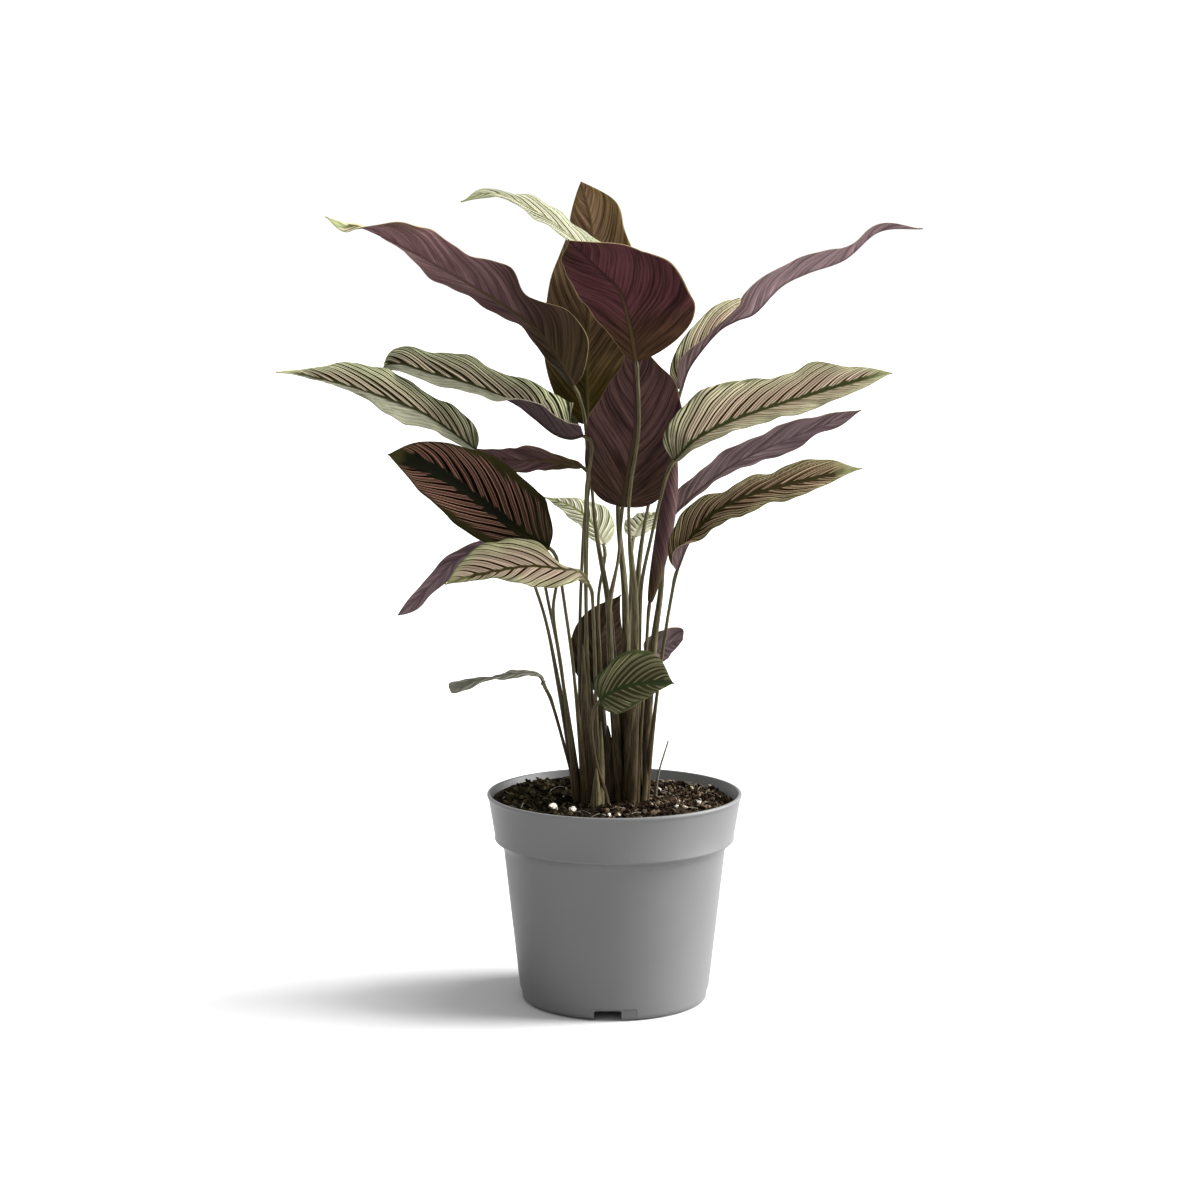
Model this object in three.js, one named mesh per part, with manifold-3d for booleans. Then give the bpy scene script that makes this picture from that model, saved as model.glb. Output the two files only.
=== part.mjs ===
// A potted white star calathea: a prayer plant with striped leaves in a grey nursery pot.
// Millimetres, +Z up, with the front of the plant towards -Y.
// The origin is the middle of the pot's base, on the surface that the pot stands on.
import * as THREE from 'three';
import Module from 'manifold-3d';
import { mergeVertices } from 'three/addons/utils/BufferGeometryUtils.js';

const wasm = await Module();
wasm.setup();

// Pot: a moulded 19 cm nursery pot with a deep rim band and a notched foot
const RIM_RADIUS = 95;
const POT_HEIGHT = 156;
const BAND_BOTTOM_Z = 120;
const BAND_BOTTOM_RADIUS = 88.7;
const BODY_TOP_Z = 113.5;
const BODY_TOP_RADIUS = 82.7;
const BASE_RADIUS = 70.6;
const BASE_ROUNDING = 5;
const WALL = 2;
const LIP_HEIGHT = 3;
const LIP_OVERHANG = 0.9;
const FLOOR_Z = 8;
const FLOOR_THICKNESS = 2.5;
const POT_SEGMENTS = 40;
const HUB_RADIUS = 13;
const SPOKE_WIDTH = 2.4;
const SPOKE_COUNT = 4;
const NOTCH_COUNT = 4;
const NOTCH_WIDTH = 25;
const NOTCH_HEIGHT = 7.5;
const NOTCH_SHIFT = -2;
const RECESS_WIDTH = 30;
const RECESS_DEPTH = 1.2;
const RECESS_HEIGHT = 9;
const RECESS_SHIFT = 0.5;
const CUTTER_DEPTH = 24;
const DRAIN_HOLES = 8;
const DRAIN_HOLE_RADIUS = 5;
const DRAIN_CIRCLE_RADIUS = 38;

// Soil
const SOIL_Z = 148;
const SOIL_RINGS = 6;
const SOIL_LUMP = 1.9;
const SOIL_MOUND = 3;
const SOIL_MOUND_RADIUS = 30;
const SOIL_EDGE = 6;
const HOLE_TOP = 7;
const GAP = 0.3;

// Leaf blades
const BLADE_ROWS = 14;
const BLADE_COLUMNS = 7;
const BLADE_THICKNESS = 0.8;
const RIB_DEPTH = 1;
const BASE_HALF_WIDTH = 1.9;
const TIP_HALF_WIDTH = 0.5;
const WIDEST_AT = 0.4;
const BASE_ROUNDNESS = 0.62;
const TIP_SHARPNESS = 1.15;
const RIB_TAPER = 0.7;
const ROW_CROWDING = 0.09;
const HALF_WAVE_SHIFT = 1.9;

// Leaf stalks
const STALK_SIDES = 6;
const STALK_STEPS = 11;
const STALK_TOP_RADIUS = 1.6;
const SHEATH_RADIUS = 4.5;
const SHEATH_SHARE = 0.55;
const ROOT_DEPTH = 26;
const APPROACH = 8;
const SHEATH_FALL = 1.5;

// Clumps of stalks that leave the soil together
const CLUMPS = ['left', 'right', 'back', 'front'];

// Colours
const LEAF_TOP = 0x6d7554;
const LEAF_UNDER = 0x4a3038;
const STALK_GREEN = 0x4d4a3c;
const POT_GREY = 0x8c8e8e;
const SOIL_BROWN = 0x2e2622;

// Each leaf, from the crown outwards. rib: points of the midrib from its base to its tip.
// face: directions that the upper face looks towards, spread evenly from base to tip.
// left, right: widths of the two halves, seen from above with the tip ahead, spread evenly.
// fold: degrees that each half rises from flat, at base and tip. curl: droop of the margins.
// waves: how many, how high and from what phase. tip: bluntness of the point. base: roundness of the lobes
// at the stalk. under: shows its lower face.
// root: where the stalk leaves the soil. via: points that the stalk passes through.
const LEAVES = [
  {
    name: 'leaf_upper_left', clump: 'left', root: [-17, 5],
    via: [[-21, 10, 280], [-20, 24, 390], [-22, 20, 432]],
    rib: [[-30, 5, 458], [-54, 0, 495], [-83, -5, 518], [-133, -15, 548], [-178, -20, 571], [-208, -18, 580]],
    face: [[0.1, 0.75, 0.65], [0, 0.7, 0.7], [0, 0.75, 0.66], [0, 0.78, 0.6], [0, 0.7, 0.7], [0, 0.1, 1],
      [0, -1, 0.3]],
    left: [34, 22, 20, 29, 46], right: [20, 19, 20, 24, 30],
    fold: [35, 30], curl: 1, waves: [3.5, 1.8, 0.4], under: true,
  },
  {
    name: 'leaf_top_front', clump: 'right', root: [10, -8],
    via: [[15, -22, 290], [10, -30, 370], [17, -40, 430]],
    rib: [[15, -45, 478], [10, -64, 504], [3, -90, 527], [-13, -118, 544], [-32, -150, 562]],
    face: [[0, 0.6, 0.8], [0, 0.6, 0.8]],
    left: [40, 44, 46, 54, 66], right: [36, 29, 25, 26, 32],
    fold: [8, 5], curl: 3, waves: [3, 1.5, 1], base: 0.5, under: true,
  },
  {
    name: 'leaf_top_pale', clump: 'right', root: [10, -1], via: [[8, 18, 300], [3, 40, 375], [16, 36, 440]],
    rib: [[19, 15, 506], [-7, 14, 543], [-38, 10, 571], [-66, 5, 589], [-90, 0, 597], [-111, -10, 591]],
    face: [[0, -0.3, 0.95], [0, -0.3, 0.95]],
    left: [24, 24, 22], right: [24, 24, 26, 28], fold: [8, 8], curl: 1, waves: [3.5, 2, 1],
  },
  {
    name: 'leaf_tall_back', clump: 'right', root: [4, 3], via: [[-4, 20, 290], [-14, 36, 350]],
    rib: [[-20, 50, 427], [-21, 56, 475], [-19, 63, 527], [-17, 70, 572], [-25, 75, 608]],
    face: [[0, 1, 0.1], [0, 1, 0.1]],
    left: [34, 36, 38, 46, 44], right: [34, 35, 34, 32, 34],
    fold: [10, 5], curl: 3, waves: [3, 2, 0.5], tip: 0.85, under: true,
  },
  {
    name: 'leaf_centre', clump: 'right', root: [4, -4], via: [[-4, 6, 290], [3, 20, 330]],
    rib: [[6, 25, 367], [11, 20, 399], [15, 8, 428], [14, -12, 470], [12, -30, 498]],
    face: [[0, 1, 0.2], [0, 1, 0.4]],
    left: [38, 37, 36], right: [36, 36, 36], fold: [8, 5], curl: 3, waves: [3, 1.2, 0], under: true,
  },
  {
    name: 'leaf_top_right', clump: 'right', root: [14, 4], via: [[16, 24, 290], [24, 36, 360]],
    rib: [[50, 45, 453], [57, 40, 472], [76, 36, 500], [90, 32, 512], [104, 28, 517], [122, 22, 531],
      [141, 18, 541], [168, 10, 550], [192, 0, 571], [223, -5, 572]],
    face: [[-0.7, -0.5, 0.5], [-0.45, 0.05, 0.9], [-0.35, 0.12, 0.93], [-0.25, 0.15, 0.95], [-0.2, 0.1, 1]],
    left: [28, 22, 17, 12, 12], right: [18, 22, 22, 18, 12],
    fold: [60, 38, 35, 35], curl: 0, waves: [3.5, 1.2, 0], under: true,
  },
  {
    name: 'leaf_right_upper', clump: 'right', root: [17, -2], via: [[19, -8, 305], [26, -12, 345]],
    rib: [[43, -15, 404], [62, -20, 422], [95, -28, 438], [139, -40, 453], [167, -50, 465], [196, -60, 470]],
    face: [[-0.2, -0.8, 0.6], [0, -0.8, 0.6]],
    left: [36, 27, 25, 26], right: [10, 14, 15, 15], fold: [24, 18], curl: 1, waves: [4, 1.8, 0],
    base: 0.45,
  },
  {
    name: 'leaf_right_middle', clump: 'right', root: [21, 3], via: [[29, 6, 265], [34, 8, 303]],
    rib: [[42, 10, 361], [63, 15, 381], [93, 20, 402], [130, 25, 418], [164, 30, 431], [184, 32, 439]],
    face: [[0, 0.6, 0.8], [0, 0.6, 0.8]],
    left: [18, 18, 18, 20], right: [18, 18, 18, 20],
    fold: [10, 5], curl: 1, waves: [3.5, 1.5, 0], under: true,
  },
  {
    name: 'leaf_right_lower', clump: 'right', root: [23, -4], via: [[35, -24, 265]],
    rib: [[45, -45, 328], [54, -50, 350], [72, -57, 371], [97, -66, 384], [138, -80, 396], [172, -94, 405]],
    face: [[-0.4, -0.75, 0.5], [-0.1, -0.6, 0.8], [0, -0.57, 0.82]],
    left: [26, 20, 20, 24], right: [8, 15, 16, 16], fold: [6, 4], curl: 1, waves: [4, 1.8, 1], base: 0.5,
  },
  {
    name: 'leaf_far_left', clump: 'left', root: [-30, 2],
    via: [[-44, 2, 250], [-54, 4, 295], [-78, 3, 360]],
    rib: [[-102, 0, 411], [-125, -8, 429], [-148, -18, 443], [-189, -30, 458], [-228, -40, 468],
      [-242, -45, 470]],
    face: [[0, -0.75, 0.65], [0, -0.75, 0.65]],
    left: [10, 15, 16, 10, 9], right: [22, 22, 24, 25], fold: [20, 18], curl: 1, waves: [4, 1.6, 0],
  },
  {
    name: 'leaf_left_folded', clump: 'left', root: [-17, -3], via: [[-21, 0, 280], [-21, 3, 380]],
    rib: [[-25, 10, 424], [-44, 10, 441], [-74, 6, 452], [-105, 0, 461], [-134, -4, 468], [-155, -4, 474],
      [-166, 8, 470], [-163, 26, 456]],
    face: [[0, -0.5, 0.85], [0, -0.5, 0.85], [0, -0.6, 0.8], [-0.5, -0.5, 0.8], [-1, 0.2, 0.4]],
    left: [18, 18, 20, 22], right: [22, 23, 24, 30], fold: [28, 15], curl: 1, waves: [4, 1.6, 0],
  },
  {
    name: 'leaf_left_narrow', clump: 'left', root: [-23, 2], via: [[-26, 10, 260], [-23, 15, 350]],
    rib: [[-24, 15, 398], [-49, 20, 402], [-74, 25, 402], [-96, 28, 406], [-114, 30, 411]],
    face: [[0, 0.7, 0.7], [0, 0.7, 0.7]],
    left: [16, 16, 16], right: [14, 14, 14], fold: [10, 5], curl: 1, waves: [3, 1.5, 0], under: true,
  },
  {
    name: 'leaf_left_dark', clump: 'left', root: [-22, -7], via: [[-30, -26, 250], [-36, -44, 300]],
    rib: [[-47, -55, 345], [-65, -60, 355], [-92, -68, 377], [-116, -78, 395], [-136, -88, 407],
      [-158, -100, 415]],
    face: [[0.3, -0.8, 0.5], [0.3, -0.8, 0.5]],
    left: [26, 28, 30, 38], right: [36, 33, 33, 42], fold: [8, 5], curl: 2, waves: [3, 1.2, 0], tip: 0.95,
  },
  {
    name: 'leaf_low_left_narrow', clump: 'left', root: [-28, -5], via: [[-39, -14, 250], [-45, -20, 295]],
    rib: [[-46, -25, 334], [-82, -25, 343], [-114, -27, 336], [-136, -29, 316], [-158, -30, 293]],
    face: [[0, 0.7, 0.7], [0, 0.7, 0.7]],
    left: [10, 9, 11, 19], right: [11, 11, 12, 16], fold: [15, 5], curl: 1, waves: [3, 1.2, 0], tip: 0.8,
    under: true,
  },
  {
    name: 'leaf_left_hidden', clump: 'left', root: [-27, 8], via: [[-42, 12, 260], [-50, 16, 300]],
    rib: [[-62, 22, 348], [-84, 40, 366], [-108, 64, 378], [-130, 96, 380]],
    face: [[0, 0.2, 1], [0, 0.2, 1]],
    left: [20, 22, 22], right: [20, 22, 22], fold: [10, 5], curl: 2, waves: [3, 1.6, 0],
  },
  {
    name: 'leaf_low_left_pale', clump: 'front', root: [-12, -16], via: [[-14, -35, 240]],
    rib: [[-19, -61, 320], [-26, -67, 329], [-40, -75, 332], [-60, -85, 335], [-83, -97, 333],
      [-101, -106, 330], [-118, -115, 326]],
    face: [[0, -0.75, 0.65], [0, -0.75, 0.65]],
    left: [9, 13, 15, 13], right: [3, 5, 27, 29, 27, 24], fold: [10, 5], curl: 2, waves: [3.5, 1.8, 0],
  },
  {
    name: 'leaf_back_pale', clump: 'back', root: [-4, 22], via: [[-10, 36, 240], [-12, 44, 295]],
    rib: [[-8, 50, 336], [-19, 75, 352], [-34, 95, 361], [-54, 120, 366]],
    face: [[0, -0.5, 0.87], [0, -0.5, 0.87]],
    left: [10, 11, 11], right: [18, 18, 16], fold: [8, 5], curl: 1, waves: [3, 1.2, 0],
  },
  {
    name: 'leaf_back_right', clump: 'back', root: [3, 22], via: [[10, 36, 230], [12, 50, 290]],
    rib: [[15, 60, 341], [22, 86, 349], [32, 116, 353], [44, 146, 352]],
    face: [[0, -0.1, 1], [0, 0, 1]],
    left: [14, 15, 15], right: [14, 15, 15], fold: [8, 5], curl: 2, waves: [3, 1.2, 0],
  },
  {
    name: 'leaf_low_back', clump: 'back', root: [-10, 19], via: [[-15, 28, 190]],
    rib: [[-14, 35, 227], [-13, 45, 252], [-8, 55, 274], [5, 65, 296]],
    face: [[0, 1, 0.2], [0, 1, 0.2]],
    left: [22, 22, 20], right: [20, 18, 18], fold: [12, 5], curl: 1, waves: [2, 1, 0], under: true,
  },
  {
    name: 'leaf_low_right', clump: 'right', root: [20, 10], via: [[22, 18, 210]],
    rib: [[25, 24, 250], [33, 34, 260], [43, 45, 266], [55, 56, 268]],
    face: [[0, 0.9, 0.4], [0, 0.9, 0.4]],
    left: [18, 18, 18], right: [17, 17, 17], fold: [8, 5], curl: 2, waves: [2, 1, 0], under: true,
  },
  {
    name: 'leaf_low_front', clump: 'front', root: [-6, -19], via: [[-12, -29, 185], [-16, -44, 210]],
    rib: [[-15, -50, 224], [-9, -53, 235], [4, -59, 243], [20, -65, 250], [42, -75, 250]],
    face: [[0, -0.8, 0.6], [0, -0.8, 0.6]],
    left: [20, 20, 20], right: [17, 17, 17], fold: [8, 5], curl: 3, waves: [2, 0.8, 0],
  },
  {
    name: 'leaf_low_left_thin', clump: 'left', root: [-35, -1], via: [[-40, -4, 190]],
    rib: [[-50, -10, 234], [-57, -12, 246], [-77, -20, 247], [-100, -26, 244], [-121, -30, 239]],
    face: [[-0.6, 0, 0.8], [0, -0.1, 1], [0, -0.1, 1], [0, 0.2, 1]],
    left: [7, 8, 8], right: [7, 8, 8], fold: [15, 5], curl: 1, waves: [3, 1, 0],
  },
];

// The new leaf that is still rolled up, from its stalk to its point
const ROLLED_LEAF = {
  name: 'leaf_rolled', clump: 'right', root: [16, -9], via: [[22, -8, 240]],
  rib: [[27, -7, 300], [33, -5, 340], [36, -3, 378], [38, 0, 412]],
};
const ROLLED_RADIUS = 4.8;
const ROLLED_SIDES = 14;
const ROLLED_LAP = 0.16;
const ROLLED_STEPS = 12;

// A thin dry stalk that stands at the right
const DRY_STALK = [[31, 2, 118], [31, 2, 150], [33, 1, 170], [40, -1, 195]];
const DRY_STALK_RADIUS = 0.8;
const DRY_STALK_STEPS = 8;

function vectors(points) {
  return points.map((p) => new THREE.Vector3(...p));
}

function smoothCurve(points) {
  return new THREE.CatmullRomCurve3(vectors(points), false, 'catmullrom', 0.5);
}

// A closed mesh from a list of corner points and a list of triangles
function meshGeometry(points, triangles) {
  const geometry = new THREE.BufferGeometry();
  geometry.setAttribute('position', new THREE.Float32BufferAttribute(points.flatMap((p) => p.toArray()), 3));
  geometry.setIndex(triangles.flat());
  return geometry;
}

function toSolid(geometry) {
  const bare = geometry.clone();
  bare.deleteAttribute('normal');
  bare.deleteAttribute('uv');
  const merged = mergeVertices(bare, 1e-4);
  return new wasm.Manifold(new wasm.Mesh({
    numProp: 3,
    vertProperties: new Float32Array(merged.attributes.position.array),
    triVerts: new Uint32Array(merged.index.array),
  }));
}

function fromSolid(solid) {
  const mesh = solid.getMesh();
  const geometry = new THREE.BufferGeometry();
  geometry.setAttribute('position', new THREE.BufferAttribute(mesh.vertProperties, 3));
  geometry.setIndex(new THREE.BufferAttribute(mesh.triVerts, 1));
  return geometry;
}

function named(name, geometry, color, roughness) {
  geometry.computeVertexNormals();
  const mesh = new THREE.Mesh(geometry, new THREE.MeshStandardMaterial({ color, roughness, metalness: 0 }));
  mesh.name = name;
  return mesh;
}

// Rings of points, one after another, closed into a tube with flat ends
function ringsGeometry(rings) {
  const sides = rings[0].length;
  const points = rings.flat();
  const triangles = [];
  for (let i = 0; i + 1 < rings.length; i++) {
    for (let k = 0; k < sides; k++) {
      const a = i * sides + k;
      const b = i * sides + (k + 1) % sides;
      triangles.push([a, b, b + sides], [a, b + sides, a + sides]);
    }
  }
  const last = (rings.length - 1) * sides;
  for (let k = 1; k + 1 < sides; k++) {
    triangles.push([0, k + 1, k], [last, last + k, last + k + 1]);
  }
  return meshGeometry(points, triangles);
}

// A tube along a curve whose radius is given by a function of the angle and of the share of its length
function tubeGeometry(curve, steps, sides, radiusAt) {
  const rings = [];
  let normal = new THREE.Vector3(1, 0, 0);
  for (let i = 0; i <= steps; i++) {
    const share = 1 - (1 - i / steps) ** 1.25;
    const middle = curve.getPointAt(share);
    const along = curve.getTangentAt(share);
    normal = normal.clone().addScaledVector(along, -normal.dot(along)).normalize();
    const binormal = new THREE.Vector3().crossVectors(along, normal);
    const ring = [];
    for (let k = 0; k < sides; k++) {
      const angle = 2 * Math.PI * k / sides;
      const radius = radiusAt(share, angle);
      ring.push(middle.clone()
        .addScaledVector(normal, radius * Math.cos(angle))
        .addScaledVector(binormal, radius * Math.sin(angle)));
    }
    rings.push(ring);
  }
  return ringsGeometry(rings);
}

// Value at a share of the way through a list of evenly spread values
function spread(values, share) {
  const place = share * (values.length - 1);
  const before = Math.min(Math.floor(place), values.length - 2);
  return THREE.MathUtils.lerp(values[before], values[before + 1], place - before);
}

// Share of the full width that the outline has at a share of the length
function outlineAt(leaf, share) {
  const bulge = Math.log(0.5) / Math.log(WIDEST_AT);
  const power = THREE.MathUtils.lerp(leaf.base ?? BASE_ROUNDNESS, leaf.tip ?? TIP_SHARPNESS, share);
  return Math.pow(Math.max(Math.sin(Math.PI * Math.pow(share, bulge)), 0), power);
}

// The middle line of a blade and the directions across it and out of its upper face
function bladeFrame(curve, faces, share) {
  const along = curve.getTangentAt(share);
  const up = faces.getPoint(share);
  up.addScaledVector(along, -up.dot(along)).normalize();
  return { middle: curve.getPointAt(share), up, side: new THREE.Vector3().crossVectors(along, up) };
}

// A point of the blade's middle surface. across runs from -1, the left margin, to 1, the right margin.
function bladePoint(leaf, frame, share, across) {
  const [count, height, phase] = leaf.waves;
  const outline = outlineAt(leaf, share);
  const half = spread(across < 0 ? leaf.left : leaf.right, share);
  const least = THREE.MathUtils.lerp(BASE_HALF_WIDTH, TIP_HALF_WIDTH, share);
  const reach = Math.abs(across) * Math.max(half * outline, least);
  const fold = THREE.MathUtils.degToRad(spread(leaf.fold, share));
  const swing = Math.sin(2 * Math.PI * count * share + phase + (across < 0 ? HALF_WAVE_SHIFT : 0));
  const lift = reach * Math.sin(fold) + across * across * outline * (height * swing - leaf.curl);
  return frame.middle.clone()
    .addScaledVector(frame.side, Math.sign(across) * reach * Math.cos(fold))
    .addScaledVector(frame.up, lift);
}

// Both faces of a blade, split alike, with a rib along the middle of the lower one
function bladeGeometry(leaf) {
  const curve = smoothCurve(leaf.rib);
  const faces = smoothCurve(leaf.face);
  const upper = [];
  const lower = [];
  for (let i = 0; i < BLADE_ROWS; i++) {
    const even = i / (BLADE_ROWS - 1);
    const share = even - ROW_CROWDING * Math.sin(2 * Math.PI * even);
    const frame = bladeFrame(curve, faces, share);
    for (let j = 0; j < BLADE_COLUMNS; j++) {
      const across = 2 * j / (BLADE_COLUMNS - 1) - 1;
      const point = bladePoint(leaf, frame, share, across);
      const rib = across === 0 ? RIB_DEPTH * (1 - RIB_TAPER * share) : 0;
      upper.push(point.clone().addScaledVector(frame.up, BLADE_THICKNESS / 2));
      lower.push(point.clone().addScaledVector(frame.up, -BLADE_THICKNESS / 2 - rib));
    }
  }
  return meshGeometry([...upper, ...lower], sheetTriangles(BLADE_ROWS, BLADE_COLUMNS));
}

// Triangles of a closed sheet whose upper and lower points are grids of the same rows and columns
function sheetTriangles(rows, columns) {
  const under = rows * columns;
  const triangles = [];
  for (let i = 0; i + 1 < rows; i++) {
    for (let j = 0; j + 1 < columns; j++) {
      const a = i * columns + j;
      const b = a + 1;
      const c = a + columns;
      const d = c + 1;
      triangles.push([a, b, d], [a, d, c]);
      triangles.push([a + under, d + under, b + under], [a + under, c + under, d + under]);
    }
  }
  const edge = [];
  for (let j = 0; j < columns; j++) edge.push(j);
  for (let i = 1; i < rows; i++) edge.push(i * columns + columns - 1);
  for (let j = columns - 2; j >= 0; j--) edge.push((rows - 1) * columns + j);
  for (let i = rows - 2; i > 0; i--) edge.push(i * columns);
  edge.forEach((a, k) => {
    const b = edge[(k + 1) % edge.length];
    triangles.push([a, a + under, b + under], [a, b + under, b]);
  });
  return triangles;
}

// The stalk of a leaf, from below the soil to a small gap short of the blade
function stalkCurve(leaf, rootDepth) {
  const [x, y] = leaf.root;
  const base = new THREE.Vector3(...leaf.rib[0]);
  const along = smoothCurve(leaf.rib).getTangentAt(0);
  const approach = base.clone().addScaledVector(along, -APPROACH);
  const end = base.clone().addScaledVector(along, -GAP);
  return smoothCurve([
    [x, y, SOIL_Z - rootDepth],
    [x, y, SOIL_Z + 4],
    ...leaf.via,
    approach.toArray(),
    end.toArray(),
  ]);
}

function stalkRadius(share, extra = 0) {
  const sheath = Math.max(0, 1 - share / SHEATH_SHARE) ** SHEATH_FALL;
  return THREE.MathUtils.lerp(STALK_TOP_RADIUS, SHEATH_RADIUS, sheath) + extra;
}

function stalkGeometry(leaf, extra = 0) {
  const curve = stalkCurve(leaf, ROOT_DEPTH + extra);
  return tubeGeometry(curve, STALK_STEPS, STALK_SIDES, (share) => stalkRadius(share, extra));
}

// A rolled leaf is a spindle whose section is a scroll
function rolledGeometry(leaf) {
  const curve = smoothCurve(leaf.rib);
  return tubeGeometry(curve, ROLLED_STEPS, ROLLED_SIDES, (share, angle) => {
    const body = Math.sin(Math.PI * THREE.MathUtils.lerp(0.12, 0.97, share)) ** 0.6;
    const lap = 1 + ROLLED_LAP * angle / (2 * Math.PI);
    return Math.max(ROLLED_RADIUS * body * lap, 0.6);
  });
}

// A profile of radius and height turned round the upright axis
function turned(profile) {
  const points = profile.map(([radius, z]) => new THREE.Vector2(radius, z));
  return new THREE.LatheGeometry(points, POT_SEGMENTS).rotateX(Math.PI / 2);
}

// Inside of the pot's wall, from the floor up
function innerWall(offset) {
  return [
    [BASE_RADIUS - WALL - offset, FLOOR_Z + FLOOR_THICKNESS + offset],
    [BODY_TOP_RADIUS - WALL - offset, BODY_TOP_Z + offset],
    [BAND_BOTTOM_RADIUS - WALL - offset, BAND_BOTTOM_Z + offset],
  ];
}

function potSolid() {
  const bandTop = RIM_RADIUS - LIP_OVERHANG;
  const body = toSolid(turned([
    [0, FLOOR_Z],
    [BASE_RADIUS - BASE_ROUNDING - 1.5, FLOOR_Z],
    [BASE_RADIUS - BASE_ROUNDING - 1.5, 0],
    [BASE_RADIUS - BASE_ROUNDING + 0.5, 0],
    [BASE_RADIUS - 2, 1],
    [BASE_RADIUS - 0.4, 3.2],
    [BASE_RADIUS, BASE_ROUNDING + 1],
    [BODY_TOP_RADIUS, BODY_TOP_Z],
    [BODY_TOP_RADIUS + 1, BODY_TOP_Z + 1.4],
    [BAND_BOTTOM_RADIUS - 1.4, BAND_BOTTOM_Z - 1.8],
    [BAND_BOTTOM_RADIUS, BAND_BOTTOM_Z],
    [bandTop, POT_HEIGHT - LIP_HEIGHT],
    [RIM_RADIUS, POT_HEIGHT - LIP_HEIGHT + 0.6],
    [RIM_RADIUS, POT_HEIGHT - 0.7],
    [RIM_RADIUS - 0.8, POT_HEIGHT],
    [RIM_RADIUS - WALL - LIP_OVERHANG, POT_HEIGHT],
    ...innerWall(0).reverse(),
    [0, FLOOR_Z + FLOOR_THICKNESS],
  ]));
  return cutFoot(body.add(underside()));
}

// A hub and spokes that stiffen the floor from below. The hub stands on the ground.
function underside() {
  const hub = turned([[0, 0], [HUB_RADIUS, 0], [HUB_RADIUS, FLOOR_Z + 1], [0, FLOOR_Z + 1]]);
  let solid = toSolid(hub);
  const reach = BASE_RADIUS - BASE_ROUNDING;
  const height = FLOOR_Z - 2;
  for (let i = 0; i < SPOKE_COUNT; i++) {
    const spoke = new THREE.BoxGeometry(reach - HUB_RADIUS / 2, SPOKE_WIDTH, height);
    spoke.translate((reach + HUB_RADIUS / 2) / 2, 0, FLOOR_Z + 1 - height / 2);
    spoke.rotateZ(2 * Math.PI * (i + 0.5) / SPOKE_COUNT);
    solid = solid.add(toSolid(spoke));
  }
  return solid;
}

// Notches round the foot and drain holes through the floor
function cutFoot(body) {
  let solid = body;
  for (let i = 0; i < NOTCH_COUNT; i++) {
    const angle = 2 * Math.PI * i / NOTCH_COUNT;
    const notch = new THREE.BoxGeometry(NOTCH_WIDTH, CUTTER_DEPTH, 2 * NOTCH_HEIGHT);
    notch.translate(NOTCH_SHIFT, -BASE_RADIUS, 0);
    notch.rotateZ(angle);
    const recess = new THREE.BoxGeometry(RECESS_WIDTH, CUTTER_DEPTH, 2 * RECESS_HEIGHT);
    recess.translate(RECESS_SHIFT, RECESS_DEPTH - BASE_RADIUS - CUTTER_DEPTH / 2, 0);
    recess.rotateZ(angle);
    solid = solid.subtract(toSolid(notch)).subtract(toSolid(recess));
  }
  for (let i = 0; i < DRAIN_HOLES; i++) {
    const hole = new THREE.CylinderGeometry(DRAIN_HOLE_RADIUS, DRAIN_HOLE_RADIUS, 12, 12);
    hole.rotateX(Math.PI / 2);
    const angle = 2 * Math.PI * i / DRAIN_HOLES;
    const x = DRAIN_CIRCLE_RADIUS * Math.cos(angle);
    const y = DRAIN_CIRCLE_RADIUS * Math.sin(angle);
    hole.translate(x, y, FLOOR_Z);
    solid = solid.subtract(toSolid(hole));
  }
  return solid;
}

// Lumps of bark and peat in the soil's surface
function soilRelief(x, y) {
  const coarse = Math.sin(x / 4.3 + 1.7 * Math.sin(y / 9.1)) * Math.cos(y / 4.9 + 1.3 * Math.sin(x / 7.7));
  const mound = SOIL_MOUND * Math.exp(-(x * x + y * y) / (2 * SOIL_MOUND_RADIUS ** 2));
  return SOIL_LUMP * coarse + mound;
}

// One plain hole in the soil for a clump of stalks
function clumpHole(leaves) {
  const buried = leaves.map((leaf) => toSolid(stalkGeometry(leaf, GAP))
    .trimByPlane([0, 0, -1], -SOIL_Z - HOLE_TOP));
  return wasm.Manifold.hull(buried);
}

// Soil that fills the pot to a little below the rim
function soilSolid(holes) {
  const bandShare = (SOIL_Z - BAND_BOTTOM_Z) / (POT_HEIGHT - BAND_BOTTOM_Z);
  const bandRadius = THREE.MathUtils.lerp(BAND_BOTTOM_RADIUS, RIM_RADIUS - LIP_OVERHANG, bandShare);
  const edge = bandRadius - WALL - GAP;
  const profile = [[0, FLOOR_Z + FLOOR_THICKNESS + GAP], ...innerWall(GAP)];
  for (let i = 0; i <= SOIL_RINGS; i++) {
    profile.push([edge * (1 - i / SOIL_RINGS), SOIL_Z]);
  }
  const geometry = turned(profile);
  const position = geometry.attributes.position;
  for (let i = 0; i < position.count; i++) {
    const x = position.getX(i);
    const y = position.getY(i);
    const inside = Math.min(1, Math.max(0, (edge - Math.hypot(x, y)) / SOIL_EDGE));
    const onTop = position.getZ(i) > SOIL_Z - GAP;
    if (onTop) position.setZ(i, SOIL_Z + inside * soilRelief(x, y));
  }
  let solid = toSolid(geometry);
  for (const hole of holes) solid = solid.subtract(hole);
  return solid;
}

const dryStalk = (extra) => {
  const [x, y, z] = DRY_STALK[0];
  const curve = smoothCurve([[x, y, z - extra], ...DRY_STALK.slice(1)]);
  return tubeGeometry(curve, DRY_STALK_STEPS, STALK_SIDES, () => DRY_STALK_RADIUS + extra);
};

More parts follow.
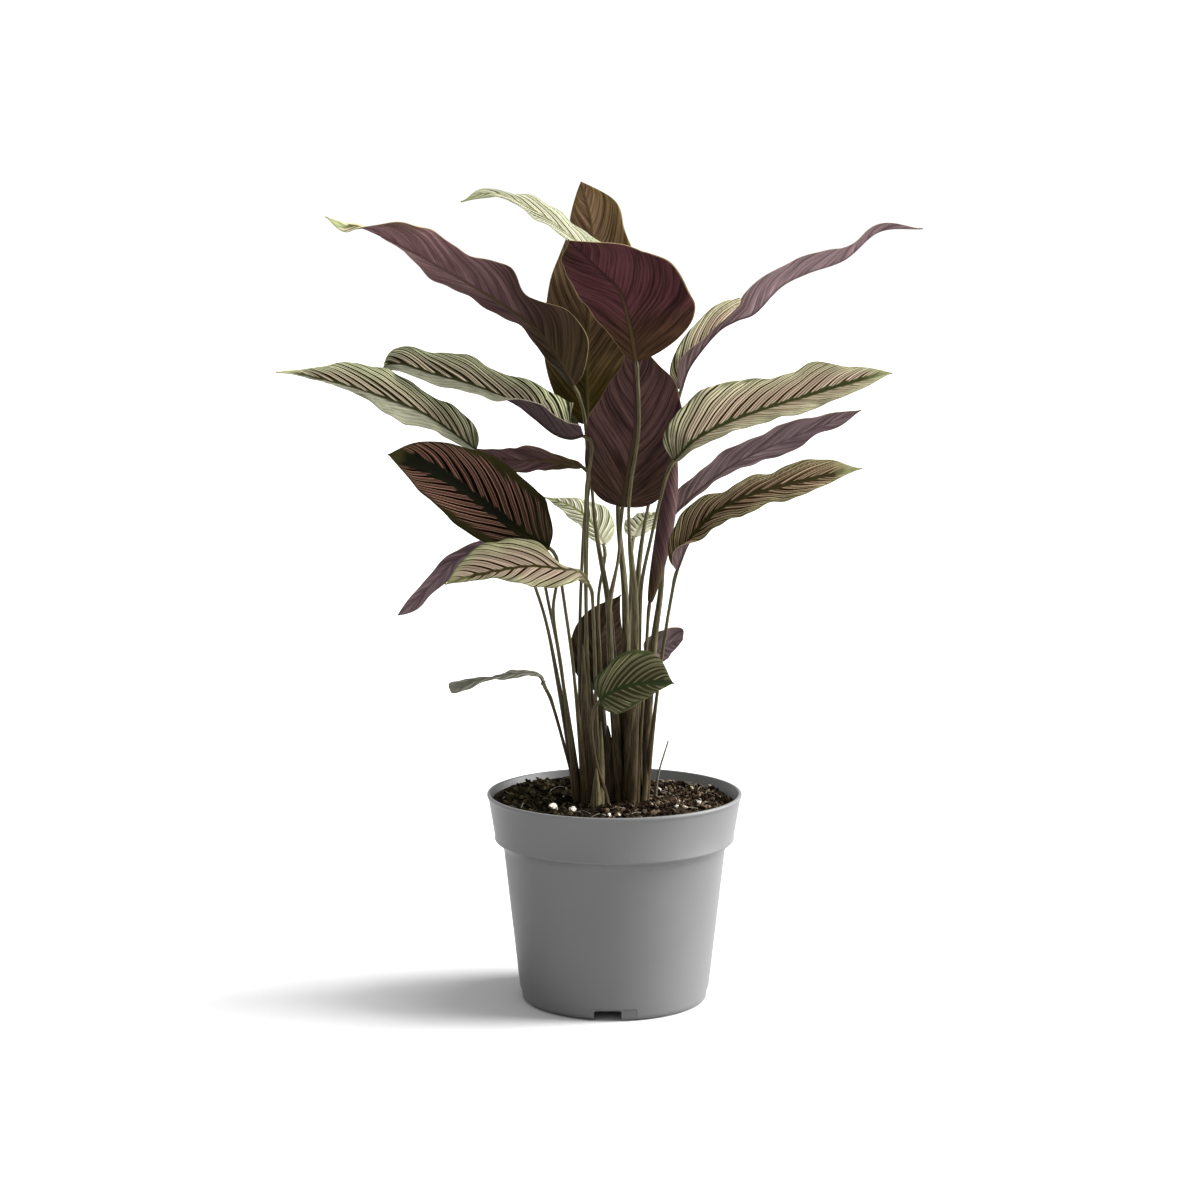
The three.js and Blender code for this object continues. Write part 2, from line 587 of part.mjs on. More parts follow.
const group = new THREE.Group();
const holes = [toSolid(dryStalk(GAP))];
for (const clump of CLUMPS) {
  const leaves = [...LEAVES, ROLLED_LEAF].filter((leaf) => leaf.clump === clump);
  const stalks = wasm.Manifold.union(leaves.map((leaf) => toSolid(stalkGeometry(leaf))));
  group.add(named(`stalks_${clump}`, fromSolid(stalks), STALK_GREEN, 0.5));
  holes.push(clumpHole(leaves));
}
for (const leaf of LEAVES) {
  group.add(named(leaf.name, bladeGeometry(leaf), leaf.under ? LEAF_UNDER : LEAF_TOP, 0.45));
}
group.add(named(ROLLED_LEAF.name, rolledGeometry(ROLLED_LEAF), LEAF_UNDER, 0.45));
group.add(named('dry_stalk', dryStalk(0), STALK_GREEN, 0.8));
group.add(named('pot', fromSolid(potSolid()), POT_GREY, 0.55));
group.add(named('soil', fromSolid(soilSolid(holes)), SOIL_BROWN, 0.95));

export default group;
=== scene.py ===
"""Looks of a potted white star calathea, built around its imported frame.

The tables and shapes are in millimetres, with +Z up and the front of the plant towards -Y, as in
the part's own source. Each finished piece is in metres and stands for the plainer nodes it names.
"""
import math
from functools import cache
from types import SimpleNamespace

import bpy
import numpy as np
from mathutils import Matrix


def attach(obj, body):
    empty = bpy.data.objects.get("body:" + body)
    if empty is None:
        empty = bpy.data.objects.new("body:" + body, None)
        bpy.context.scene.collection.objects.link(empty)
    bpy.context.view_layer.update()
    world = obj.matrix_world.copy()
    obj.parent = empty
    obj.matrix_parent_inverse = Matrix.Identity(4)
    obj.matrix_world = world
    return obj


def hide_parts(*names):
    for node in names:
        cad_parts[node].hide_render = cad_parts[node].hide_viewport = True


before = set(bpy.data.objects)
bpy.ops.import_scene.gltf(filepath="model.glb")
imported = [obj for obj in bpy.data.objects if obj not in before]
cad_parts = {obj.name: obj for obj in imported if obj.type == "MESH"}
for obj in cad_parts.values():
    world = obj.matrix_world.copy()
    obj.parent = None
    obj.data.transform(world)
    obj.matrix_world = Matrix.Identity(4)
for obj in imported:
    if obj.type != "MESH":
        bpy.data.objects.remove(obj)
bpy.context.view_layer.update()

MM = 0.001
FULL_TURN = 2 * math.pi
SEED = 7

# Blades: their grid, how it crowds towards the ends and the midrib, and their shape
BLADE_ROWS = 150
BLADE_COLUMNS = 41
ROW_CROWDING = 0.07
COLUMN_CROWDING = 1.15
BLADE_THICKNESS = 0.8
RIB_DEPTH = 0.9
RIB_GROOVE = 0.35
RIB_HALF_WIDTH = 1.1
BASE_HALF_WIDTH = 1.9
TIP_HALF_WIDTH = 0.5
WIDEST_AT = 0.4
CORRUGATION = 0.5

# Waves of a margin: the shift of the left half against the right, and the finer ruffle on top
HALF_WAVE_SHIFT = 1.9
RUFFLE_HEIGHT = 0.35
RUFFLE_RATE = 2.3

# Veins
LEAST_VEINS = 1.5
VEINS_PER_MM = 0.062
BASE_VEINS = 4.5
VEIN_BEND = 0.8

# Stalks, which are brown at the root and green from GREEN_FROM along them
STALK_SIDES = 12
STALK_RINGS = 49
STALK_TOP_RADIUS = 1.25
SHEATH_RADIUS = 4.5
SHEATH_LAP = 0.22
KNUCKLE_LENGTH = 11
KNUCKLE_SWELL = 0.22
ROOT_DEPTH = 26
APPROACH = 8
GREEN_FROM = 190

# Soil: its level, and the gap between it and the pot's wall
SOIL_Z = 148
GAP = 0.3


def new_leaf(name, clump, upper, under, root, **own):
    """A leaf's measures: its own, and those that most leaves share."""
    usual = dict(sheath=0.55, fall=1.5, fold=[8, 5], curl=1, waves=[3, 1.2, 0], tip=1.15, base=0.62,
                 dim=[1, 1], plain=(0, 0), lean=(1.6, 1.6), veins=1)
    return dict(usual, name=name, clump=clump, upper=upper, under=under, root=root, **own)


# Each leaf: its name, clump, upper look and lower look, and where its stalk leaves the soil. Lists run
# from the base to the tip, and pairs give the left half and then the right.
# via: points on the stalk. sheath: share of the stalk that its sheath clasps. fall: how fast that thins.
# rib: points on the midrib. face: directions that the upper face looks in. left, right: half widths.
# fold: lift of both halves in degrees, or left_fold and right_fold. curl: how far the margins drop.
# waves: number, height and phase of the margin's waves. tip, base: how fast each end narrows.
# dim: painted shade, how far the blade is darkened from base to tip where it lies in shade,
# and under_dim its lower face alone. plain: how far its stripes are worn off.
# lean: slant of the veins. veins: factor on their number.
LEAVES = [
    new_leaf(
        "leaf_upper_left", "left", "cream", "plum", (-17, 5),
        via=[(-21, 10, 280), (-20, 24, 390), (-22, 20, 432)],
        rib=[(-30, 5, 458), (-54, 0, 495), (-83, -5, 518), (-133, -15, 548), (-178, -20, 571),
            (-194, -19, 573), (-208, -18, 580)],
        face=[(0.1, 0.75, 0.65), (0, 0.7, 0.7), (0, 0.75, 0.66), (0, 0.78, 0.6), (0, 0.7, 0.7), (0, 0.1, 1),
            (0, -1, 0.3)],
        fold=[35, 35, 34, 33, 32, 30, 30, 28, 20, 0, 0], waves=[4.5, 2.6, 0.4],
        dim=[0.3, 0.34, 0.47, 0.74, 0.93, 1, 1],
        left=[34, 42, 30, 18, 25, 22, 22, 31, 44, 38, 40],
        right=[20, 20, 19, 20, 18, 22, 25, 24, 32, 30, 30],
    ),
    new_leaf(
        "leaf_top_front", "right", "cream", "wine", (10, -8),
        via=[(15, -22, 290), (10, -30, 370), (17, -40, 430)], sheath=0.64, fall=0.5,
        rib=[(15, -45, 478), (10, -64, 504), (3, -90, 527), (-13, -118, 544), (-32, -150, 562)],
        face=[(0, 0.6, 0.8)] * 2, curl=3, waves=[3, 1.5, 1], dim=[0.64, 0.56, 0.54], base=0.5,
        left=[30, 46, 52, 50, 46, 47, 48, 52, 64, 68, 70],
        right=[16, 16, 19, 25, 28, 30, 31, 35, 42, 58, 40],
    ),
    new_leaf(
        "leaf_top_pale", "right", "bleached", "mauve", (10, -1),
        via=[(8, 18, 300), (3, 40, 375), (16, 36, 440)], sheath=0.7, fall=0.8,
        rib=[(19, 15, 506), (-7, 14, 543), (-38, 10, 571), (-66, 5, 589), (-90, 0, 597), (-111, -10, 591)],
        face=[(0, -0.3, 0.95)] * 2, fold=[8, 8], waves=[3.5, 2, 1], dim=[0.6, 0.62],
        left=[24, 24, 24, 26, 32, 31, 25, 32, 30, 66, 50],
        right=[24, 24, 24, 24, 26, 27, 25, 36, 22, 36, 30],
    ),
    new_leaf(
        "leaf_tall_back", "right", "cream", "olive", (4, 3),
        via=[(-4, 20, 290), (-14, 36, 350)], sheath=0.8, fall=0.9,
        rib=[(-20, 50, 427), (-21, 56, 475), (-19, 63, 527), (-17, 70, 572), (-25, 75, 608)],
        face=[(0, 1, 0.1)] * 2, fold=[10, 5], curl=3, waves=[3, 2, 0.5],
        dim=[0.35, 0.36, 0.38, 0.54, 0.78, 0.88], tip=0.85,
        left=[34, 35, 36, 37, 37, 38, 41, 45, 45, 66, 66],
        right=[34, 34, 34, 34, 34, 33, 33, 32, 33, 40, 40],
    ),
    new_leaf(
        "leaf_centre", "right", "cream", "deep", (4, -4),
        via=[(-4, 6, 290), (3, 20, 330)], sheath=0.8, fall=0.7,
        rib=[(6, 25, 367), (11, 20, 399), (15, 8, 428), (14, -12, 470), (12, -30, 498)],
        face=[(0, 1, 0.2), (0, 1, 0.4)],
        curl=3, dim=[0.66, 0.66], base=0.5,
        left=[46, 42, 36, 36, 36, 37, 38, 42, 38, 36, 36],
        right=[42, 40, 38, 36, 36, 36, 31, 27, 20, 20, 20],
    ),
    new_leaf(
        "leaf_top_right", "right", "cream", "mauve", (14, 4),
        via=[(16, 24, 290), (24, 36, 360)], sheath=0.7, fall=0.8,
        rib=[(50, 45, 453), (57, 40, 472), (76, 36, 496), (90, 32, 505), (104, 28, 511), (122, 22, 530),
            (141, 18, 540), (168, 10, 550), (192, 0, 570), (223, -5, 572)],
        face=[(-0.7, -0.5, 0.5), (-0.45, 0.05, 0.9), (-0.35, 0.12, 0.93), (-0.25, 0.15, 0.95),
            (-0.2, 0.1, 1)],
        fold=[60, 38, 35, 35], curl=0, waves=[3.5, 1.2, 0], dim=[1, 1, 0.95],
        under_dim=[0.42, 0.75, 1, 1, 0.95, 0.95],
        left=[28, 26, 26, 26, 22, 18, 15, 13, 12, 12, 12],
        right=[18, 20, 8, 9, 21, 21, 20, 22, 14, 30, 24],
    ),
    new_leaf(
        "leaf_right_upper", "right", "cream", "mauve", (17, -2),
        via=[(19, -8, 305), (26, -12, 345)], sheath=0.8,
        rib=[(43, -15, 404), (62, -20, 422), (95, -28, 438), (139, -40, 453), (167, -50, 462),
            (196, -60, 470)],
        face=[(-0.2, -0.8, 0.6), (0, -0.8, 0.6)],
        fold=[24, 18], waves=[4, 1.8, 0], dim=[0.76, 0.92, 1, 1], plain=(0, 0.45), lean=(1.9, 1.9), base=0.45,
        left=[36, 33, 33, 31, 27, 21, 25, 33, 31, 40, 60],
        right=[10, 11, 12, 14, 14, 15, 22, 21, 29, 37, 40],
    ),
    new_leaf(
        "leaf_right_middle", "right", "cream", "mauve", (21, 3),
        via=[(29, 6, 265), (34, 8, 303)], sheath=0.9, fall=0.7,
        rib=[(42, 10, 361), (63, 15, 381), (93, 20, 402), (130, 25, 418), (164, 30, 431), (184, 32, 439)],
        face=[(0, 0.6, 0.8)] * 2, fold=[10, 5], waves=[3.5, 1.5, 0], dim=[0.42, 0.5, 0.55],
        left=[4, 3, 6, 8, 9, 18, 26, 25, 22, 55, 60],
        right=[20, 22, 20, 18, 18, 20, 22, 26, 30, 37, 40],
    ),
    new_leaf(
        "leaf_right_lower", "right", "bronze", "mauve", (23, -4), via=[(35, -24, 265)],
        rib=[(45, -45, 328), (54, -50, 350), (72, -57, 371), (97, -66, 384), (138, -80, 396),
            (172, -94, 405)],
        face=[(-0.4, -0.75, 0.5), (-0.1, -0.6, 0.8), (0, -0.57, 0.82)],
        right_fold=[100, 90, 20, 5, 4, 4, 4, 4, 4, 4, 4], fold=[6, 4], waves=[4, 1.8, 1],
        dim=[0.48, 0.6, 0.8, 1], lean=(2.0, 2.0), base=0.5,
        left=[26, 24, 22, 21, 13, 20, 22, 31, 44, 52, 40],
        right=[14, 17, 13, 14, 14, 22, 17, 25, 31, 29, 30],
    ),
    new_leaf(
        "leaf_far_left", "left", "lime", "mauve", (-28, 2), via=[(-44, 2, 250), (-54, 4, 295), (-78, 3, 360)],
        rib=[(-102, 0, 411), (-125, -8, 429), (-148, -18, 443), (-189, -30, 458), (-228, -40, 468),
            (-242, -45, 470)],
        face=[(0, -0.75, 0.65)] * 2, fold=[20, 18], waves=[4, 1.6, 0], dim=[0.9, 1, 1], plain=(0.9, 0),
        lean=(2.9, 2.9),
        left=[10, 10, 13, 16, 21, 19, 6, 6, 3, 4, 6],
        right=[30, 24, 22, 15, 20, 23, 23, 28, 22, 20, 20],
    ),
    new_leaf(
        "leaf_left_folded", "left", "lime", "mauve", (-17, -3), via=[(-21, 0, 280), (-21, 3, 380)],
        rib=[(-23, 10, 421), (-33, 8, 419), (-45, 8, 423), (-60, 7, 435), (-75, 6, 446), (-105, 0, 459),
            (-134, -4, 467), (-157, -4, 474), (-170, 8, 470), (-165, 26, 456)],
        face=[(0, -0.5, 0.85), (0, -0.5, 0.85), (0, -0.6, 0.8), (-0.5, -0.5, 0.8), (-1, 0.2, 0.4)],
        left_fold=[100, 100, 90, 60, 25, 15, 15, 15, 15, 15, 15], fold=[28, 15], waves=[4, 1.6, 0],
        dim=[0.74, 0.8, 0.95, 1], under_dim=[0.26, 0.28, 0.34, 0.5], plain=(0.9, 0), lean=(2.3, 2.3),
        base=0.3,
        left=[19, 19, 16, 16, 16, 15, 15, 18, 20, 20, 20],
        right=[40, 38, 31, 23, 20, 24, 24, 26, 30, 30, 30],
    ),
    new_leaf(
        "leaf_left_narrow", "left", "lime", "plum", (-23, 2), via=[(-26, 10, 260), (-23, 15, 350)],
        rib=[(-24, 15, 398), (-49, 20, 402), (-74, 25, 402), (-96, 28, 406), (-114, 30, 411)],
        face=[(0, 0.7, 0.7)] * 2, fold=[10, 5], waves=[3, 1.5, 0], dim=[0.56, 0.6],
        left=[10, 10, 10, 10, 16, 16, 13, 12, 14, 14, 14],
        right=[11, 11, 10, 12, 15, 16, 15, 14, 14, 14, 14],
    ),
    new_leaf(
        "leaf_left_dark", "left", "dark", "mauve", (-22, -7), via=[(-30, -26, 250), (-36, -44, 300)],
        rib=[(-47, -55, 345), (-65, -60, 355), (-92, -68, 377), (-116, -78, 395), (-136, -88, 407),
            (-158, -100, 415)],
        face=[(0.3, -0.8, 0.5)] * 2, curl=2, dim=[0.12, 0.17, 0.21, 0.2], lean=(2.3, 1.5), tip=0.95, base=0.5,
        left=[26, 27, 27, 28, 28, 29, 31, 33, 40, 46, 46],
        right=[40, 44, 40, 37, 36, 37, 35, 35, 37, 41, 42],
    ),
    new_leaf(
        "leaf_low_left_narrow", "left", "lime", "mauve", (-28, -5), via=[(-39, -14, 250), (-45, -20, 295)],
        rib=[(-46, -25, 334), (-82, -25, 343), (-113, -27, 335), (-132, -29, 317), (-158, -30, 293)],
        face=[(0, 0.7, 0.7)] * 2, fold=[15, 5], dim=[0.38, 0.48, 0.62], tip=0.8,
        left=[10, 10, 9, 9, 9, 9, 8, 9, 11, 12, 12],
        right=[11, 11, 11, 11, 11, 12, 12, 13, 14, 27, 40],
    ),
    new_leaf(
        "leaf_left_hidden", "left", "lime", "plum", (-27, 8), via=[(-42, 12, 260), (-50, 16, 300)],
        rib=[(-62, 22, 348), (-84, 40, 366), (-108, 64, 378), (-130, 96, 380)],
        face=[(0, 0.2, 1)] * 2, fold=[10, 5], curl=2, waves=[3, 1.6, 0],
        left=[20, 22, 22],
        right=[20, 22, 22],
    ),
    new_leaf(
        "leaf_low_left_pale", "front", "pale", "mauve", (-12, -16), via=[(-14, -35, 240)],
        rib=[(-19, -61, 320), (-26, -67, 329), (-40, -75, 332), (-60, -85, 335), (-83, -97, 333),
            (-101, -106, 330), (-118, -115, 326)],
        face=[(0, -0.75, 0.65)] * 2, fold=[10, 5], curl=2, waves=[3, 1.6, 1], dim=[0.38, 0.33],
        left=[9, 10, 15, 19, 18, 18, 15, 7, 8, 13, 13],
        right=[3, 4, 5, 15, 22, 27, 29, 34, 38, 43, 40],
    ),
    new_leaf(
        "leaf_back_pale", "back", "bleached", "mauve", (-4, 22), via=[(-10, 36, 240), (-12, 44, 295)],
        rib=[(-8, 50, 336), (-19, 75, 352), (-34, 95, 361), (-54, 120, 366)],
        face=[(0, -0.5, 0.87)] * 2, dim=[0.75, 0.78],
        left=[10, 11, 11],
        right=[18, 18, 16],
    ),
    new_leaf(
        "leaf_back_right", "back", "bleached", "mauve", (3, 22), via=[(10, 36, 230), (12, 50, 290)],
        rib=[(15, 60, 341), (22, 86, 349), (32, 116, 353), (44, 146, 352)],
        face=[(0, -0.1, 1), (0, 0, 1)],
        curl=2, dim=[0.5, 0.5],
        left=[14, 15, 15],
        right=[14, 15, 15],
    ),
    new_leaf(
        "leaf_low_back", "back", "dark", "olive", (-10, 19), via=[(-15, 28, 190)],
        rib=[(-14, 35, 227), (-13, 45, 252), (-8, 55, 274), (5, 65, 296)],
        face=[(0, 1, 0.2)] * 2, fold=[12, 5], waves=[2, 1, 0], dim=[0.11, 0.155],
        left=[21, 22, 22],
        right=[18, 22, 24],
    ),
    new_leaf(
        "leaf_low_right", "right", "dark", "mauve", (20, 10), via=[(22, 18, 210)],
        rib=[(25, 24, 250), (33, 34, 258), (43, 45, 262), (52, 54, 263)],
        face=[(0, 0.9, 0.4)] * 2, curl=2, waves=[2, 1, 0], dim=[0.27, 0.27], tip=0.6,
        left=[16, 16, 18, 30],
        right=[16, 16, 17, 28],
    ),
    new_leaf(
        "leaf_low_front", "front", "young", "plum", (-6, -19), via=[(-14, -31, 185), (-17, -43, 212)],
        rib=[(-11, -50, 233), (-4, -54, 239), (8, -60, 245), (24, -67, 249), (42, -75, 250)],
        face=[(0, -0.8, 0.6)] * 2, curl=3, waves=[2, 0.8, 0], veins=1.35, base=0.35,
        left=[24, 24, 25, 27, 28, 29, 31, 34, 36, 36, 32],
        right=[17, 20, 20, 19, 18, 17, 17, 17, 16, 16, 16],
    ),
    new_leaf(
        "leaf_low_left_thin", "left", "faded", "faded", (-28, -1), via=[(-37, -4, 190)],
        rib=[(-50, -10, 234), (-57, -12, 246), (-77, -20, 247), (-100, -26, 244), (-121, -30, 239)],
        face=[(-0.6, 0, 0.8), (0, -0.2, 1), (0, -0.2, 1), (0, -0.3, 0.9), (0, -0.9, 0.4)],
        fold=[15, 5], waves=[3, 1, 0], tip=0.2,
        left=[7, 8, 8, 8, 7, 5, 4, 5, 7, 8, 9],
        right=[7, 8, 8, 8, 7, 5, 4, 5, 6, 7, 8],
    ),
]

# The new leaf that is still rolled up, from its stalk to its point
ROLLED_LEAF = new_leaf(
    "leaf_rolled", "right", None, "plum", (16, -9), via=[(22, -8, 240)],
    rib=[(26, -7, 300), (34, -5, 340), (40, -3, 378), (43, 0, 412)],
)
ROLLED_RADIUS = 5.8
ROLLED_LAP = 0.3
ROLLED_RINGS = 60
ROLLED_SIDES = 40

# A thin dry stalk that stands at the right
DRY_STALK = [(31, 2, 118), (31, 2, 150), (33, 1, 170), (40, -1, 195)]
DRY_STALK_RADIUS = 1.0

# Young shoots and old sheaths between the stalks: where each leaves the soil, its tip and its radius
YOUNG_SHOOTS = [
    ((-15, -28), (-13.5, -30, 181), 4.2),
    ((-13, -22), (-10, -21, 213), 4.4),
    ((20, -8), (25.5, -9, 197), 2.2),
]
OLD_SHEATHS = [
    ((4, -10), (-2, -9, 196), 2.4),
    ((-3, 0), (-5, 3, 206), 6.5),
    ((7, 8), (5, 9, 224), 6),
    ((-16, 8), (-17, 10, 238), 4.5),
    ((-9, 10), (-11, 12, 234), 5),
    ((-20, -4), (-23.5, -4, 268), 4.6),
    ((12, -13), (17, -17, 290), 3.4),
]
SHOOT_RINGS = 24
SHOOT_SIDES = 16
SHOOT_DEPTH = 12


def unit(vectors):
    """Vectors scaled to length 1 along their last axis."""
    length = np.linalg.norm(vectors, axis=-1, keepdims=True)
    return vectors / np.maximum(length, 1e-12)


def followed(curve, marks, place):
    """Points of a curve at places between the marks of its points."""
    return np.stack([np.interp(place, marks, c) for c in curve.T], axis=-1)


def extended(values):
    """Values with one more at each end, straight on."""
    return np.concatenate([[2 * values[0] - values[1]], values, [2 * values[-1] - values[-2]]])


def between(b, c, start, end, t):
    """The smooth way from b to c that leaves and arrives at these slopes, for t from 0 to 1."""
    return b + start * t + (3 * (c - b) - 2 * start - end) * t**2 + (2 * (b - c) + start + end) * t**3


class Path:
    """A smooth curve through points, followed by its own parameter or by share of its length.

    A taut one doesn't swing out where its points are unevenly spread.
    """

    def __init__(self, points, steps=60, taut=False):
        p = extended(np.array(points, float))
        t = np.linspace(0, 1, steps, endpoint=False)[:, None]
        parts = []
        for a, b, c, d in zip(p, p[1:], p[2:], p[3:]):
            start, end = (c - a) / 2, (d - b) / 2
            if taut:
                span = np.linalg.norm(c - b)
                start, end = unit(start) * span, unit(end) * span
            parts.append(between(b, c, start, end, t))
        self.points = np.vstack([*parts, p[-2:-1]])
        self.tangents = unit(np.gradient(self.points, axis=0))
        reached = np.cumsum(np.linalg.norm(np.diff(self.points, axis=0), axis=1))
        self.length = reached[-1]
        self.shares = np.concatenate([[0], reached]) / self.length

    def by_param(self, t):
        return followed(self.points, np.linspace(0, 1, len(self.points)), t)

    def at(self, share):
        return followed(self.points, self.shares, share)

    def along(self, share):
        return unit(followed(self.tangents, self.shares, share))


def spread(values, share):
    """Smooth value at a share of the way through a list of evenly spread values."""
    values = extended(np.array(values, float))
    place = np.clip(share, 0, 1) * (len(values) - 3)
    first = np.minimum(np.floor(place).astype(int), len(values) - 4)
    a, b, c, d = (values[first + k] for k in range(4))
    return between(b, c, (c - a) / 2, (d - b) / 2, place - first)


def outline_at(leaf, share):
    """Share of the full width that a blade has at a share of its length."""
    bulge = math.log(0.5) / math.log(WIDEST_AT)
    power = leaf["base"] + (leaf["tip"] - leaf["base"]) * share
    return np.maximum(np.sin(np.pi * share**bulge), 0) ** power


def smoothstep(low, high, x):
    t = np.clip((x - low) / (high - low), 0, 1)
    return t * t * (3 - 2 * t)


def blade_sheet(leaf, share, across):
    """Middle surface of a blade on a grid, the distances from its midrib, and the midrib's length."""
    rib = Path(leaf["rib"])
    along = rib.along(share)
    up = Path(leaf["face"]).by_param(share)
    up = unit(up - (up * along).sum(1, keepdims=True) * along)
    side = np.cross(along, up)
    outline = outline_at(leaf, share)[:, None]
    s, a = share[:, None], across[None, :]
    is_left = a < 0
    half = np.where(is_left, spread(leaf["left"], s), spread(leaf["right"], s))
    least = BASE_HALF_WIDTH + (TIP_HALF_WIDTH - BASE_HALF_WIDTH) * s
    reach = np.abs(a) * np.maximum(half * outline, least)
    folds = [spread(leaf.get(name, leaf["fold"]), s) for name in ("left_fold", "right_fold")]
    fold = np.radians(np.where(is_left, *folds))
    count, height, phase = leaf["waves"]
    turn = FULL_TURN * count * s
    swing = np.sin(turn + phase + np.where(is_left, HALF_WAVE_SHIFT, 0))
    ruffle = RUFFLE_HEIGHT * np.sin(RUFFLE_RATE * turn + 2.1 * phase + np.where(is_left, 0.7, 2.9))
    lift = reach * np.sin(fold) + a**2 * outline * (height * (swing + ruffle) - leaf["curl"])
    middle = (rib.at(share)[:, None]
              + side[:, None] * (np.sign(a) * reach * np.cos(fold))[..., None]
              + up[:, None] * lift[..., None])
    return middle, reach, rib.length


def sheet_faces(rows, columns):
    """Quads of a closed sheet: the upper grid, the lower grid, then the edge between them."""
    under = rows * columns
    grid = np.arange(under).reshape(rows, columns)
    corners = grid[:-1, :-1], grid[:-1, 1:], grid[1:, 1:], grid[1:, :-1]
    upper = np.stack([corner.ravel() for corner in corners], axis=1)
    lower = upper[:, [0, 3, 2, 1]] + under
    loop = np.concatenate([grid[0, :], grid[1:, -1], grid[-1, -2::-1], grid[-2:0:-1, 0]])
    after = np.roll(loop, -1)
    edge = np.stack([loop, loop + under, after + under, after], axis=1)
    return upper, lower, edge


def new_piece(name, points, faces, materials=(), slots=None, smooth=True):
    """A mesh object from points in millimetres."""
    mesh = bpy.data.meshes.new(name)
    mesh.from_pydata((np.asarray(points) * MM).tolist(), [], [list(map(int, f)) for f in faces])
    for material in materials:
        mesh.materials.append(material)
    if slots is not None:
        mesh.polygons.foreach_set("material_index", np.asarray(slots, np.int32))
    mesh.polygons.foreach_set("use_smooth", np.full(len(mesh.polygons), smooth))
    piece = bpy.data.objects.new(name, mesh)
    bpy.context.scene.collection.objects.link(piece)
    return piece


def give_numbers(piece, **numbers):
    """Numbers at each point of a mesh, for its material to read."""
    for name, values in numbers.items():
        attribute = piece.data.attributes.new(name, "FLOAT", "POINT")
        attribute.data.foreach_set("value", np.asarray(values, np.float32).ravel())


def finish_piece(piece, slot, *nodes):
    """The piece rides on the one body and stands for the nodes named."""
    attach(piece, "root")
    if nodes:
        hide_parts(*nodes)


def vein_numbers(leaf, share, across, reach, length):
    """Counts the veins from the base. Each leaves the midrib at a slant and bends towards the tip."""
    s, a = np.maximum(share[:, None], 1e-4), np.abs(across)[None, :]
    lean = np.where(across < 0, *leaf["lean"])[None, :] * reach * (1 + VEIN_BEND * a**2)
    count = (LEAST_VEINS + length * VEINS_PER_MM) * leaf["veins"]
    start = s * np.exp(-lean / (s * length))
    return start * count + start**0.25 * BASE_VEINS


def make_blade(leaf, seed):
    """A closed blade with a midrib, and the numbers that its stripes follow."""
    even_rows = np.linspace(0, 1, BLADE_ROWS)
    share = even_rows - ROW_CROWDING * np.sin(FULL_TURN * even_rows)
    even_columns = np.linspace(-1, 1, BLADE_COLUMNS)
    across = np.sign(even_columns) * np.abs(even_columns) ** COLUMN_CROWDING
    middle, reach, length = blade_sheet(leaf, share, across)
    vein = vein_numbers(leaf, share, across, reach, length)
    normals = unit(np.cross(np.gradient(middle, axis=1), np.gradient(middle, axis=0)))
    s, a = share[:, None], np.abs(across)[None, :]
    swell = smoothstep(0.05, 0.3, a) * (1 - smoothstep(0.75, 1, a))
    swell = swell * smoothstep(0, 0.15, s) * (1 - smoothstep(0.8, 1, s))
    middle = middle + normals * (CORRUGATION * swell * np.cos(FULL_TURN * vein))[..., None]
    ridge = np.exp(-(reach / RIB_HALF_WIDTH) ** 2) * (1 - 0.7 * s)
    half_thickness = BLADE_THICKNESS / 2 * (1 - 0.55 * smoothstep(0.8, 1, a))
    upper = middle + normals * (half_thickness - RIB_GROOVE * ridge)[..., None]
    lower = middle - normals * (half_thickness + RIB_DEPTH * ridge)[..., None]
    tops, bottoms, edge = sheet_faces(BLADE_ROWS, BLADE_COLUMNS)
    slots = np.repeat([0, 1], [len(tops), len(bottoms) + len(edge)])
    piece = new_piece(leaf["name"] + "_blade", np.concatenate([upper, lower]).reshape(-1, 3),
                      np.vstack([tops, bottoms, edge]),
                      [upper_material(leaf["upper"]), under_material(leaf["under"])], slots)

    def both(values):
        """The same numbers on both faces."""
        return [values + 0 * reach] * 2

    is_left = across[None, :] < 0
    # Painted shade: each face's list darkens the blade where it lies in shade.
    dims = leaf["dim"], leaf.get("under_dim", leaf["dim"])
    give_numbers(piece, vein=both(vein + 40 * seed + np.where(is_left, 20.37, 0)), across=both(a),
                 side=both(reach), share=both(s), dim=[spread(dim, s) + 0 * reach for dim in dims],
                 plain=both(np.where(is_left, *leaf["plain"])))
    finish_piece(piece, "leaf", leaf["name"])


def tube(path, shares, sides, radius_at):
    """Rings of points along a path, whose radius is a function of share and angle."""
    middles = path.at(shares)
    along = path.along(shares)
    turn = np.array([1.0, 0, 0]) if abs(along[0][0]) < 0.9 else np.array([0, 1.0, 0])
    angle = np.linspace(0, FULL_TURN, sides, endpoint=False)
    rings = []
    for share, middle, way in zip(shares, middles, along):
        turn = unit(turn - turn.dot(way) * way)
        other = np.cross(way, turn)
        radius = radius_at(share, angle)[:, None]
        rings.append(middle + radius * (np.cos(angle)[:, None] * turn + np.sin(angle)[:, None] * other))
    return np.concatenate(rings)


def ring_quads(count, sides, first=0):
    """Quads between each ring of points and the next."""
    quads = []
    for start in range(first, first + (count - 1) * sides, sides):
        for k in range(sides):
            a, b = start + k, start + (k + 1) % sides
            quads.append([a, b, b + sides, a + sides])
    return quads


def tube_faces(count, sides, first=0):
    """Quads round a tube of rings and a flat cap at each end."""
    last = first + (count - 1) * sides
    caps = [[first + k for k in reversed(range(sides))], [last + k for k in range(sides)]]
    return ring_quads(count, sides, first) + caps


